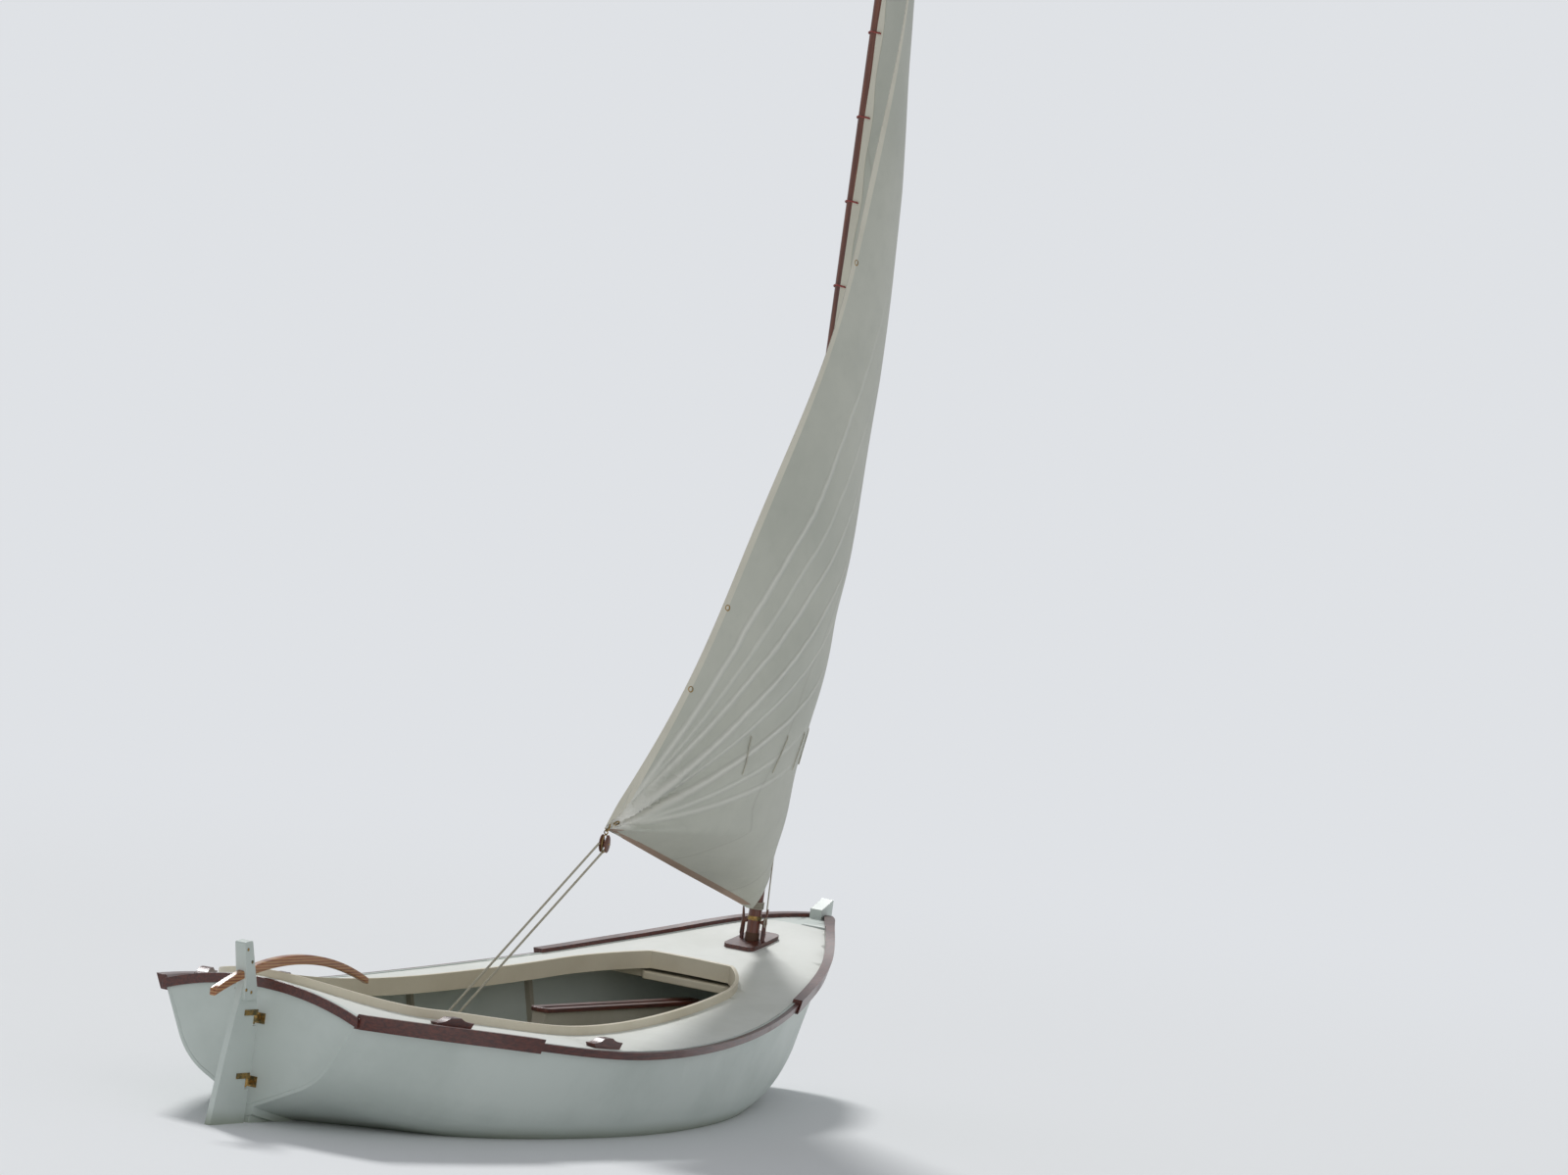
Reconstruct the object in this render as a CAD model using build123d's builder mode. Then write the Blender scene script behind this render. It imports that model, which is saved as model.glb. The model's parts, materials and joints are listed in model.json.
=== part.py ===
from build123d import *
from math import ceil, cos, hypot, radians, sin
import os

# Sailing dinghy, in millimetres. +X is forward, +Y is port, +Z is up.
# The origin is amidships on the centreline, at the waterline.

os.makedirs("parts", exist_ok=True)

# Hull
plank = 14                     # thickness of the skin
skin_joints = (-780, 670)      # where its lengths meet
transom_x = -2200              # outer face of the transom
transom_board = 24
nose_x = 2150                  # where the planks end at the stem
deck_board = 10
deck_drop = 4                  # top of the deck below the planks' edge, at the side
inside_top = 120               # how far a cutting body is carried up past the sheer

# Sections of the hull, from the stern. The turn is where the bottom and the topside would meet without
# their arc, and the crown is the rise of the deck on the centreline.
columns = ("x", "beam", "sheer", "turn_beam", "turn_height", "arc", "keel", "crown")
sections = (
    (-2260, 432, 495, 285, 225, 300, 65, 84),
    (-1600, 685, 443, 560, 40, 260, -55, 70),
    (-700, 852, 380, 741, -40, 300, -140, 40),
    (250, 796, 418, 677, -50, 300, -170, 30),
    (1000, 599, 509, 467, -10, 300, -140, 20),
    (1550, 386, 612, 255, 95, 300, -25, 12),
    (1930, 166, 702, 88, 280, 300, 175, 6),
    (nose_x, 27, 725, 14, 590, 300, 545, 1),
)
table = [dict(zip(columns, row)) for row in sections]
fair_gap = 320                 # longest run between the sections that are lofted


def column_slope(number, column):
    """Slope of a column at a section of the table, on the parabola through it and its neighbours."""
    middle = min(max(number, 1), len(table) - 2)
    low, centre, high = table[middle - 1:middle + 2]
    before = (centre[column] - low[column]) / (centre["x"] - low["x"])
    after = (high[column] - centre[column]) / (high["x"] - centre["x"])
    bend = (after - before) / (high["x"] - low["x"])
    return before + bend * (2 * table[number]["x"] - low["x"] - centre["x"])


def at_station(x, column):
    """A column of the section table at any x, on a smooth curve through the sections."""
    for number, (near, far) in enumerate(zip(table, table[1:])):
        if near["x"] <= x <= far["x"]:
            run = far["x"] - near["x"]
            share = (x - near["x"]) / run
            start = column_slope(number, column) * run
            end = column_slope(number + 1, column) * run
            rise = far[column] - near[column]
            return (near[column] + share * start + share ** 2 * (3 * rise - 2 * start - end)
                    + share ** 3 * (start + end - 2 * rise))


# The table, faired: sections close enough for every skin lofted through them to keep its distance
stations = []
for near, far in zip(table, table[1:]):
    runs = ceil((far["x"] - near["x"]) / fair_gap)
    for step in range(runs):
        x = near["x"] + (far["x"] - near["x"]) * step / runs
        stations.append({column: at_station(x, column) for column in columns})
stations.append(table[-1])

# Rails along the sheer
rub_width = 20
rub_height = 34
rub_drop = 2                   # top of the rail below the planks' edge
rail_width = 30                # heavier lengths at the bow and the quarters
rail_below = 44
rail_above = 16
bow_rail_start = 900
quarter_rail_end = -1335
transom_rail_height = 40
transom_rail_width = 14

# Cockpit, in plan: a round stern end, three arcs a side, and a straight forward end
cockpit_aft = -2110
cockpit_quarter = (-1640, 500)
cockpit_bilge = (-1250, 560)
cockpit_widest = (-800, 578)
cockpit_waist = (0, 520)
cockpit_shoulder = (700, 420)
cockpit_cheek = (900, 348)
cockpit_forward = 1100
cockpit_forward_half = 200
coaming_board = 16
coaming_above = 35
coaming_below = 40

# Stem, keel and skeg. The planks land on the sides of the keel and the stem.
keel_width = 58                # of the keel and the stem
stem_forward = 45
stem_head_front = 806
stem_head_back = 762
stem_head_length = 92
stem_face_low = 600            # the face is upright above this
stem_knee = (2040, 285)        # where the face turns into the forefoot
stem_face_middle = (2147, 448)
forefoot_middle = (1800, 45)
forefoot_x = 1550
keel_depth = 26
skeg_start = -900
skeg_bottom = -150
skeg_rise = 25                 # of its forward end
skeg_top = 200                 # inside the hull, before it is fitted to the planks
skeg_width = 34

# Inside the cockpit
thwart_x = -930
thwart_length = 230
thwart_board = 22
thwart_height = 220
mast_thwart_length = 200
mast_thwart_board = 32
mast_thwart_gap = 14           # below the forward coaming
mast_thwart_lip = 55           # its rounded middle, abaft the coaming
mast_thwart_lip_half = 215
mast_thwart_lip_round = 30
stern_seat_forward = -1450
stern_seat_height = 210
stern_seat_board = 18
floor_board = 12
floor_height = -40
floor_strip = 92
floor_gap = 14
floor_rows = (-2, -1, 1, 2)
floor_aft = -1150
floor_forward = 1000
timber_positions = (-1050, -700, -300, 200, 560, 920)
timber_sided = 26
rib_positions = (-1250, -560, 120, 800)
rib_sided = 18
rib_moulded = 24

# Centreboard and its case
case_aft = -70
case_forward = 1150
case_height = 377
case_wall = 18
case_post = 26
slot = 26
cap_board = 18
cap_width = 96
cap_overhang = 12
board_thick = 16
board_ahead = 60               # of the pin
board_chord = 330
board_head = 60                # above the pin
board_depth = 760              # below the pin
board_nose = (110, 120)        # slopes of the tip, along and up
board_heel = (70, 160)
board_round = 38
board_pin_x = 1040
board_pin_z = 30
board_pin_radius = 8
board_pin_clear = 0.3

# Rudder, turning on the pintle axis just abaft the transom
axis_back = 34
rudder_ahead = 6               # its leading edge, ahead of the axis
stock_thick = 24
cheek_thick = 12
cheek_bottom = 490
shoulder = (45, 527)           # back from the leading edge, and height
shoulder_low = 440
head_front = (122, 724)
head_back = (174, 718)
head_neck = (130, 560)
stock_back = (194, 257)
blade_bulge = (250, -60)
blade_heel = (310, -360)
blade_sole = (230, -560)
blade_toe = (60, -545)
blade_front_low = -470
head_round = 8
tiller_tail = (-2550, 541)     # top edge
tiller_crest = (-1865, 651)
tiller_tip = (-1459, 553)
tiller_tail_deep = 30
tiller_crest_deep = 36
tiller_tip_deep = 24
tiller_width = 32
tiller_round = 6
pintle_radius = 6
pintle_clear = 0.3
pintle_boss = 13
pintle_tall = 22
pintle_below = 10              # of the pin, under its gudgeon
pintle_lift = 1                # of the boss, over its gudgeon
pintle_strap = 90
gudgeon_heights = (150, 400)
gudgeon_tall = 26
gudgeon_radius = 15
gudgeon_plate = 4
gudgeon_strap = 60
gudgeon_margin = 8
notch_clear = 6

# Rig
mast_x = 1577
mast_radius = 28
masthead_radius = 21
masthead_chamfer = 12
mast_sides = 32
mast_clear = 3
mast_top = 5950
mast_foot = 62
partner_length = 240
partner_width = 150
partner_board = 18
partner_round = 30
pin_radius = 9
pin_spread = 52
pin_tall = 80
pin_seat = 12
pin_chamfer = 3
step_length = 200
step_width = 130
step_top = 95
tack_height = 784              # above the waterline
clew_height = 1210
head_height = 5700
foot_chord = 2040
tack_chord = 60                # the foot runs straight from it to the clew
tack_camber = 0.22
head_chord = 110
clew_angle = 11.6              # of the chord off the centreline, to starboard
head_angle = 48.5
cloth = 6
luff_gap = 16
hoop_thick = 7
hoop_tall = 9
hoop_sides = 16                # a turn of rope is drawn as a ring of short flats
hoop_clear = 1.5
hoop_grip = 1.5                # of a ring, over the edge of the luff
hoop_first = 140               # above the tack
hoop_pitch = 362
hoop_count = 13

# Height and camber of the sail's sections above its foot, the camber as a share of the chord
sail_sections = (
    (clew_height, 0.163),
    (2000, 0.188),
    (3100, 0.198),
    (3900, 0.19),
    (4700, 0.135),
    (head_height, 0.10),
)

# Fittings
chock_positions = (-1720, -860)
chock_length = 190
chock_base = 114
chock_width = 46
chock_height = 40
chock_crown = 54               # length of its flat top
chock_neck = 25                # height halfway along a horn
chock_horn = 22
chock_foot = 40                # carried down into the deck's camber
chock_in = 62                  # centre, inboard of the sheer
socket_radius = 6.5
socket_depth = 34
block_length = 74
block_width = 40
block_thick = 34
block_post = 4
block_gap = 24                 # between the block and what holds it
clew_grip = 8                  # of the post, past the corner of the sail
eye_radius = 8
eye_ring = 5
eye_thick = 10
eye_height = 660
eye_clear = 3
eye_root = 40


def line_cross(p, along_p, q, along_q):
    """Where two straight lines of a plane meet."""
    turn = along_p[0] * along_q[1] - along_p[1] * along_q[0]
    reach = ((q[0] - p[0]) * along_q[1] - (q[1] - p[1]) * along_q[0]) / turn
    return (p[0] + along_p[0] * reach, p[1] + along_p[1] * reach)


def half_section(row, inset, top_up):
    """Keel, turn and sheer points of one section, moved in by an inset and carried up past the sheer."""
    bottom = (row["turn_beam"], row["turn_height"] - row["keel"])
    side = (row["beam"] - row["turn_beam"], row["sheer"] - row["turn_height"])
    bottom_length = hypot(*bottom)
    side_length = hypot(*side)
    bottom_start = (-bottom[1] / bottom_length * inset, row["keel"] + bottom[0] / bottom_length * inset)
    side_start = (row["turn_beam"] - side[1] / side_length * inset,
                  row["turn_height"] + side[0] / side_length * inset)
    turn = line_cross(bottom_start, bottom, side_start, side)
    keel_point = (0, bottom_start[1] - bottom_start[0] * bottom[1] / bottom[0])
    height = row["sheer"] + top_up
    sheer_point = (side_start[0] + (height - side_start[1]) * side[0] / side[1], height)
    return keel_point, turn, sheer_point


def hull_body(inset, top_up=0, rows=stations):
    """The hull as one solid, its skin moved in by an inset."""
    with BuildPart() as body:
        for row in rows:
            keel_point, turn, sheer_point = half_section(row, inset, top_up)
            with BuildSketch(Plane.YZ.offset(row["x"])):
                with BuildLine():
                    port = FilletPolyline(keel_point, turn, sheer_point, radius=row["arc"] - inset)
                    mirror(port, about=Plane.YZ)
                    Line(sheer_point, (-sheer_point[0], sheer_point[1]))
                make_face()
        loft()
    return body.part


def sheer_band(low, high):
    """A wide sheet along the sheer, between two heights measured from it."""
    with BuildPart() as body:
        for row in stations:
            with BuildSketch(Plane.YZ.offset(row["x"])):
                with Locations((0, row["sheer"] + (low + high) / 2)):
                    Rectangle(reach_wide, high - low)
        loft()
    return body.part


def deck_band(low, high):
    """A cambered sheet between the gunwales, between two heights measured from the top of the deck."""
    with BuildPart() as body:
        for row in stations:
            beam = row["beam"]
            side = row["sheer"] - deck_drop
            middle = side + row["crown"]
            with BuildSketch(Plane.YZ.offset(row["x"])):
                with BuildLine():
                    ThreePointArc((-beam, side + low), (0, middle + low), (beam, side + low))
                    Line((beam, side + low), (beam, side + high))
                    ThreePointArc((beam, side + high), (0, middle + high), (-beam, side + high))
                    Line((-beam, side + high), (-beam, side + low))
                make_face()
        loft()
    return body.part


def deck_height(x, y):
    """Top of the deck at a place."""
    across = y / at_station(x, "beam")
    return at_station(x, "sheer") - deck_drop + at_station(x, "crown") * (1 - across ** 2)


def block(x0, x1, y0, y1, z0, z1):
    """A plain block between two corners."""
    size = (x1 - x0, y1 - y0, z1 - z0)
    return Pos((x0 + x1) / 2, (y0 + y1) / 2, (z0 + z1) / 2) * Box(*size, mode=Mode.PRIVATE)


def length_of_hull(x0, x1):
    """A cutting block over a length of the hull, wider and taller than the hull."""
    return block(x0, x1, -reach_wide / 2, reach_wide / 2, -reach_tall, reach_tall)


def save(piece, name):
    piece.label = name
    export_step(piece, f"parts/{name}.step")


# Reach of the cutting bodies, past the widest and the tallest part of the hull
reach_wide = 3 * max(row["beam"] for row in stations)
reach_tall = 2 * max(row["sheer"] for row in stations)
reach_long = 2 * (nose_x - transom_x)

# Bodies that the pieces are cut from
tall_outside = hull_body(0, inside_top)
with BuildPart() as to_the_sheer:
    add(tall_outside)
    add(sheer_band(-reach_tall, 0), mode=Mode.INTERSECT)
outside = to_the_sheer.part
inside = hull_body(plank, inside_top, stations[:-1])
rib_inside = hull_body(plank + rib_moulded, inside_top, stations[:-1])
thick_outside = hull_body(-keel_depth)
under_deck = deck_band(-reach_tall, -deck_board)
deck_solid = deck_band(-reach_tall, 0)
deck_sheet = deck_band(-deck_board, 0)
coaming_sheet = deck_band(-coaming_below, coaming_above)
partner_sheet = deck_band(0, partner_board)
rub_outside = hull_body(-rub_width, inside_top)
rub_sheet = sheer_band(-rub_height, -rub_drop)
rail_outside = hull_body(-rail_width, rail_above * 2)
rail_sheet = sheer_band(-rail_below, rail_above)
centre_plank = block(-reach_long, reach_long, -keel_width / 2, keel_width / 2, -reach_tall, reach_tall)
port_half = block(-reach_long, reach_long, 0, reach_wide, -reach_tall, reach_tall)
starboard_half = block(-reach_long, reach_long, -reach_wide, 0, -reach_tall, reach_tall)
sides = (("port", port_half), ("starboard", starboard_half))
slot_cut = block(case_aft, case_forward, -slot / 2, slot / 2, -reach_tall, 0)
case_half = slot / 2 + case_wall
case_block = block(case_aft - case_post, case_forward + case_post, -case_half, case_half,
                   -reach_tall, case_height)

# Hull skin, three lengths each side of the keel and the stem
skin_ends = (transom_x, *skin_joints, nose_x)
for side_name, near, far in (("port", keel_width / 2, reach_wide), ("starboard", -reach_wide, -keel_width / 2)):
    for length_name, start, end in zip(("aft", "middle", "fore"), skin_ends, skin_ends[1:]):
        with BuildPart() as hull_shell:
            add(outside)
            add(block(start, end, near, far, -reach_tall, reach_tall), mode=Mode.INTERSECT)
            add(inside, mode=Mode.SUBTRACT)
        save(hull_shell.part, f"hull_shell_{length_name}_{side_name}")

# Transom, fitted inside the planks, with a crowned top
transom_beam = at_station(transom_x, "beam")
transom_sheer = at_station(transom_x, "sheer")
transom_crown = at_station(transom_x, "crown")
with BuildPart() as transom:
    with BuildSketch(Plane.YZ.offset(transom_x)):
        with BuildLine():
            crown = ThreePointArc((-transom_beam, transom_sheer), (0, transom_sheer + transom_crown),
                                  (transom_beam, transom_sheer))
            Polyline(crown @ 1, (transom_beam, -reach_tall), (-transom_beam, -reach_tall), crown @ 0)
        make_face()
    extrude(amount=transom_board)
    add(inside, mode=Mode.INTERSECT)
save(transom.part, "transom")

with BuildPart() as transom_rail:
    with BuildSketch(Plane.YZ.offset(transom_x)):
        with BuildLine():
            top = ThreePointArc((-transom_beam, transom_sheer), (0, transom_sheer + transom_crown),
                                (transom_beam, transom_sheer))
            low = ThreePointArc((-transom_beam, transom_sheer - transom_rail_height),
                                (0, transom_sheer + transom_crown - transom_rail_height),
                                (transom_beam, transom_sheer - transom_rail_height))
            Line(top @ 0, low @ 0)
            Line(top @ 1, low @ 1)
        make_face()
    extrude(amount=-transom_rail_width)
save(transom_rail.part, "transom_rail")

# Stem, with its raked head standing proud of the deck, and the keel
stem_face = nose_x + stem_forward
nose_keel = stations[-1]["keel"]
head_end = stem_face - stem_head_length
with BuildPart() as stem:
    add(outside)
    add(length_of_hull(forefoot_x, nose_x), mode=Mode.INTERSECT)
    add(centre_plank, mode=Mode.INTERSECT)
    with BuildSketch(Plane.XZ):
        with BuildLine():
            foot = (forefoot_x, at_station(forefoot_x, "keel") - keel_depth)
            forefoot = ThreePointArc(foot, forefoot_middle, stem_knee)
            face = ThreePointArc(stem_knee, stem_face_middle, (stem_face, stem_face_low))
            Polyline(face @ 1, (stem_face, stem_head_front), (head_end, stem_head_back), (head_end, nose_keel),
                     (forefoot_x, stem_knee[1]), foot)
        make_face()
    extrude(amount=keel_width / 2, both=True)
    add(inside, mode=Mode.SUBTRACT)
save(stem.part, "stem")

with BuildPart() as keel:
    add(thick_outside)
    add(length_of_hull(transom_x, forefoot_x), mode=Mode.INTERSECT)
    add(centre_plank, mode=Mode.INTERSECT)
    add(inside, mode=Mode.SUBTRACT)
    add(slot_cut, mode=Mode.SUBTRACT)
save(keel.part, "keel")

with BuildPart() as skeg:
    with BuildSketch(Plane.XZ):
        Polygon((skeg_start, skeg_top), (transom_x, skeg_top), (transom_x, skeg_bottom),
                (skeg_start, skeg_bottom + skeg_rise), align=None)
    extrude(amount=skeg_width / 2, both=True)
    add(thick_outside, mode=Mode.SUBTRACT)
save(skeg.part, "skeg")

# Decks and the cockpit's opening
with BuildSketch() as opening:
    with BuildLine():
        stern_end = ThreePointArc(cockpit_quarter, (cockpit_aft, 0), (cockpit_quarter[0], -cockpit_quarter[1]))
        quarter = ThreePointArc(cockpit_quarter, cockpit_bilge, cockpit_widest)
        waist = ThreePointArc(cockpit_widest, cockpit_waist, cockpit_shoulder)
        cheek = ThreePointArc(cockpit_shoulder, cockpit_cheek, (cockpit_forward, cockpit_forward_half))
        mirror(quarter, about=Plane.XZ)
        mirror(waist, about=Plane.XZ)
        mirror(cheek, about=Plane.XZ)
        Line((cockpit_forward, cockpit_forward_half), (cockpit_forward, -cockpit_forward_half))
    make_face()

with BuildPart() as well:
    add(opening.sketch)
    extrude(amount=reach_tall, both=True)

with BuildPart() as deck:
    add(deck_sheet)
    add(inside, mode=Mode.INTERSECT)
    add(well.part, mode=Mode.SUBTRACT)
    add(length_of_hull(transom_x + transom_board, head_end), mode=Mode.INTERSECT)

with BuildPart() as foredeck:
    add(deck.part)
    add(length_of_hull(cockpit_forward, nose_x), mode=Mode.INTERSECT)
    with Locations((mast_x, 0, 0)):
        Cylinder(mast_radius + mast_clear, reach_tall * 2, mode=Mode.SUBTRACT)
save(foredeck.part, "foredeck")

with BuildPart() as aft_deck:
    add(deck.part)
    add(length_of_hull(transom_x, cockpit_quarter[0]), mode=Mode.INTERSECT)
save(aft_deck.part, "aft_deck")

for side_name, half in sides:
    with BuildPart() as side_deck:
        add(deck.part)
        add(length_of_hull(cockpit_quarter[0], cockpit_forward), mode=Mode.INTERSECT)
        add(half, mode=Mode.INTERSECT)
    save(side_deck.part, f"side_deck_{side_name}")

# Coamings, one board thick, inside the opening
with BuildPart() as coaming_ring:
    add(opening.sketch)
    extrude(amount=reach_tall, both=True)
    with BuildSketch(Plane.XY.offset(-reach_tall)):
        add(opening.sketch)
        offset(amount=-coaming_board, mode=Mode.REPLACE)
    extrude(amount=2 * reach_tall, mode=Mode.SUBTRACT)
    add(coaming_sheet, mode=Mode.INTERSECT)

coaming_end = cockpit_forward - coaming_board
coaming_lengths = {
    "forward": length_of_hull(coaming_end, cockpit_forward),
    "aft": length_of_hull(cockpit_aft, cockpit_quarter[0]),
}
for coaming_name, length in coaming_lengths.items():
    with BuildPart() as coaming:
        add(coaming_ring.part)
        add(length, mode=Mode.INTERSECT)
    save(coaming.part, f"coaming_{coaming_name}")
for side_name, half in sides:
    with BuildPart() as coaming:
        add(coaming_ring.part)
        add(length_of_hull(cockpit_quarter[0], coaming_end), mode=Mode.INTERSECT)
        add(half, mode=Mode.INTERSECT)
    save(coaming.part, f"coaming_{side_name}")

# Rails
with BuildPart() as rub:
    add(rub_outside)
    add(tall_outside, mode=Mode.SUBTRACT)
    add(rub_sheet, mode=Mode.INTERSECT)

inside_end = stations[-2]
with BuildPart() as heavy:
    add(rail_outside)
    add(outside, mode=Mode.SUBTRACT)
    add(inside, mode=Mode.SUBTRACT)
    add(rail_sheet, mode=Mode.INTERSECT)
    add(stem.part, mode=Mode.SUBTRACT)
    with BuildSketch(Plane.XY.offset(inside_end["sheer"])):
        Polygon((inside_end["x"], inside_end["beam"] - plank), (nose_x, plank), (nose_x, -plank),
                (inside_end["x"], plank - inside_end["beam"]), align=None)
    extrude(amount=reach_tall, mode=Mode.SUBTRACT)

for rail_name, band, rail_start, rail_end in (("rub_rail", rub, quarter_rail_end, bow_rail_start),
                                              ("bow_rail", heavy, bow_rail_start, nose_x),
                                              ("quarter_rail", heavy, transom_x, quarter_rail_end)):
    with BuildPart() as rail_pair:
        add(band.part)
        add(length_of_hull(rail_start, rail_end), mode=Mode.INTERSECT)
    starboard_rail, port_rail = rail_pair.part.solids().sort_by(Axis.Y)
    save(port_rail, f"{rail_name}_port")
    save(starboard_rail, f"{rail_name}_starboard")

# Framing and floor
floor_pitch = floor_strip + floor_gap
floor_half = 2 * floor_pitch + floor_strip / 2
with BuildPart() as floorboards:
    for row in floor_rows:
        add(block(floor_aft, floor_forward, row * floor_pitch - floor_strip / 2,
                  row * floor_pitch + floor_strip / 2, floor_height, floor_height + floor_board))
    add(block(floor_aft, case_aft - case_post, -floor_strip / 2, floor_strip / 2,
              floor_height, floor_height + floor_board))
    add(inside, mode=Mode.INTERSECT)
save(floorboards.part, "floorboards")

with BuildPart() as floor_timbers:
    for x in timber_positions:
        add(block(x - timber_sided / 2, x + timber_sided / 2, -floor_half, floor_half, -reach_tall, floor_height))
    add(inside, mode=Mode.INTERSECT)
    add(case_block, mode=Mode.SUBTRACT)
save(floor_timbers.part, "floor_timbers")

with BuildPart() as ribs:
    for x in rib_positions:
        add(block(x - rib_sided / 2, x + rib_sided / 2, -reach_wide / 2, reach_wide / 2,
                  floor_height + floor_board, reach_tall))
    add(inside, mode=Mode.INTERSECT)
    add(rib_inside, mode=Mode.SUBTRACT)
    add(under_deck, mode=Mode.INTERSECT)
save(ribs.part, "ribs")

with BuildPart() as mast_step:
    add(block(mast_x - step_length / 2, mast_x + step_length / 2, -step_width / 2, step_width / 2,
              -reach_tall, step_top))
    add(inside, mode=Mode.INTERSECT)
    with Locations((mast_x, 0, step_top)):
        Cylinder(mast_radius + mast_clear, 2 * (step_top - mast_foot + mast_clear), mode=Mode.SUBTRACT)
save(mast_step.part, "mast_step")

# Thwarts and stern seat
with BuildPart() as mid_thwart:
    add(block(thwart_x - thwart_length / 2, thwart_x + thwart_length / 2, -reach_wide / 2, reach_wide / 2,
              thwart_height - thwart_board, thwart_height))
    add(inside, mode=Mode.INTERSECT)
save(mid_thwart.part, "mid_thwart")

mast_thwart_top = deck_height(cockpit_forward, cockpit_forward_half) - coaming_below - mast_thwart_gap
with BuildPart() as mast_thwart:
    with BuildSketch(Plane.XY.offset(mast_thwart_top)):
        with Locations((cockpit_forward + mast_thwart_length / 2, 0)):
            Rectangle(mast_thwart_length, reach_wide)
        with Locations((cockpit_forward, 0)):
            RectangleRounded(2 * mast_thwart_lip, 2 * mast_thwart_lip_half, mast_thwart_lip_round)
    extrude(amount=-mast_thwart_board)
    add(inside, mode=Mode.INTERSECT)
    add(under_deck, mode=Mode.INTERSECT)
save(mast_thwart.part, "mast_thwart")

with BuildPart() as stern_seat:
    add(block(transom_x + transom_board, stern_seat_forward, -reach_wide / 2, reach_wide / 2,
              stern_seat_height - stern_seat_board, stern_seat_height))
    add(inside, mode=Mode.INTERSECT)
save(stern_seat.part, "stern_seat")

# Centreboard case: two walls and two posts round the slot, a cap with the slot cut through
with BuildPart() as centreboard_case:
    add(case_block)
    add(inside, mode=Mode.INTERSECT)
    add(block(case_aft, case_forward, -slot / 2, slot / 2, -reach_tall, reach_tall), mode=Mode.SUBTRACT)
    with Locations(Location((board_pin_x, 0, board_pin_z), (90, 0, 0))):
        Cylinder(board_pin_radius, 2 * case_half, mode=Mode.SUBTRACT)
save(centreboard_case.part, "centreboard_case")

with BuildPart() as case_cap:
    with BuildSketch(Plane.XY.offset(case_height)):
        with Locations(((case_aft + case_forward) / 2, 0)):
            RectangleRounded(case_forward - case_aft + 2 * (case_post + cap_overhang), cap_width, cap_width / 3)
            Rectangle(case_forward - case_aft, slot, mode=Mode.SUBTRACT)
    extrude(amount=cap_board)
save(case_cap.part, "case_cap")

with BuildPart() as board_pin:
    with Locations(Location((board_pin_x, 0, board_pin_z), (90, 0, 0))):
        Cylinder(board_pin_radius, 2 * case_half)
save(board_pin.part, "board_pin")

board_front = board_pin_x + board_ahead
board_back = board_front - board_chord
board_top = board_pin_z + board_head
board_tip = board_pin_z - board_depth
with BuildPart() as centreboard:
    with BuildSketch(Plane.XZ):
        with BuildLine():
            Polyline((board_front, board_top), (board_front, board_tip + board_nose[1]),
                     (board_front - board_nose[0], board_tip), (board_back + board_heel[0], board_tip),
                     (board_back, board_tip + board_heel[1]), (board_back, board_top), close=True)
        make_face()
        fillet(vertices(), board_round)
        with Locations((board_pin_x, board_pin_z)):
            Circle(board_pin_radius + board_pin_clear, mode=Mode.SUBTRACT)
    extrude(amount=board_thick / 2, both=True)
save(centreboard.part, "centreboard")

# Mast partner on the foredeck, with a belaying pin each side of the mast
partner_top = deck_height(mast_x, pin_spread) + partner_board
with BuildPart() as mast_partner:
    with BuildSketch():
        with Locations((mast_x, 0)):
            RectangleRounded(partner_length, partner_width, partner_round)
            Circle(mast_radius + mast_clear, mode=Mode.SUBTRACT)
            with GridLocations(0, 2 * pin_spread, 1, 2):
                Circle(pin_radius, mode=Mode.SUBTRACT)
    extrude(amount=reach_tall)
    add(partner_sheet, mode=Mode.INTERSECT)
save(mast_partner.part, "mast_partner")

with BuildPart() as belaying_pins:
    with Locations((mast_x, 0, partner_top - pin_seat)):
        with GridLocations(0, 2 * pin_spread, 1, 2):
            Cylinder(pin_radius, pin_tall, align=(Align.CENTER, Align.CENTER, Align.MIN))
    chamfer(edges().group_by(Axis.Z)[-1], pin_chamfer)
save(belaying_pins.part, "belaying_pins")

# Rowlock chocks along the rail, thick in the middle and tapered to a horn at each end, with a blind socket
for number, x in enumerate(chock_positions, 1):
    for side_name, hand in (("port", 1), ("starboard", -1)):
        taper = at_station(x + chock_length / 2, "beam") - at_station(x - chock_length / 2, "beam")
        along = Vector(chock_length, hand * taper, 0).normalized()
        y = hand * (at_station(x, "beam") - chock_in)
        seat = deck_height(x, y)
        lengthwise = Plane(origin=(x, y, seat), x_dir=along, z_dir=along.cross(Vector(0, 0, 1)))
        with BuildPart() as chock:
            with BuildSketch(lengthwise):
                with BuildLine():
                    horn = ThreePointArc((chock_crown / 2, chock_height),
                                         ((chock_crown + chock_length) / 4, chock_neck),
                                         (chock_length / 2, chock_horn))
                    low = Line(horn @ 1, (chock_base / 2, -chock_foot))
                    mirror(horn, about=Plane.YZ)
                    mirror(low, about=Plane.YZ)
                    Line((-chock_crown / 2, chock_height), (chock_crown / 2, chock_height))
                    Line((-chock_base / 2, -chock_foot), (chock_base / 2, -chock_foot))
                make_face()
            extrude(amount=chock_width / 2, both=True)
            add(deck_solid, mode=Mode.SUBTRACT)
            with Locations((x, y, seat + chock_height)):
                Cylinder(socket_radius, 2 * socket_depth, mode=Mode.SUBTRACT)
        save(chock.part, f"rowlock_chock_{number}_{side_name}")

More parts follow.
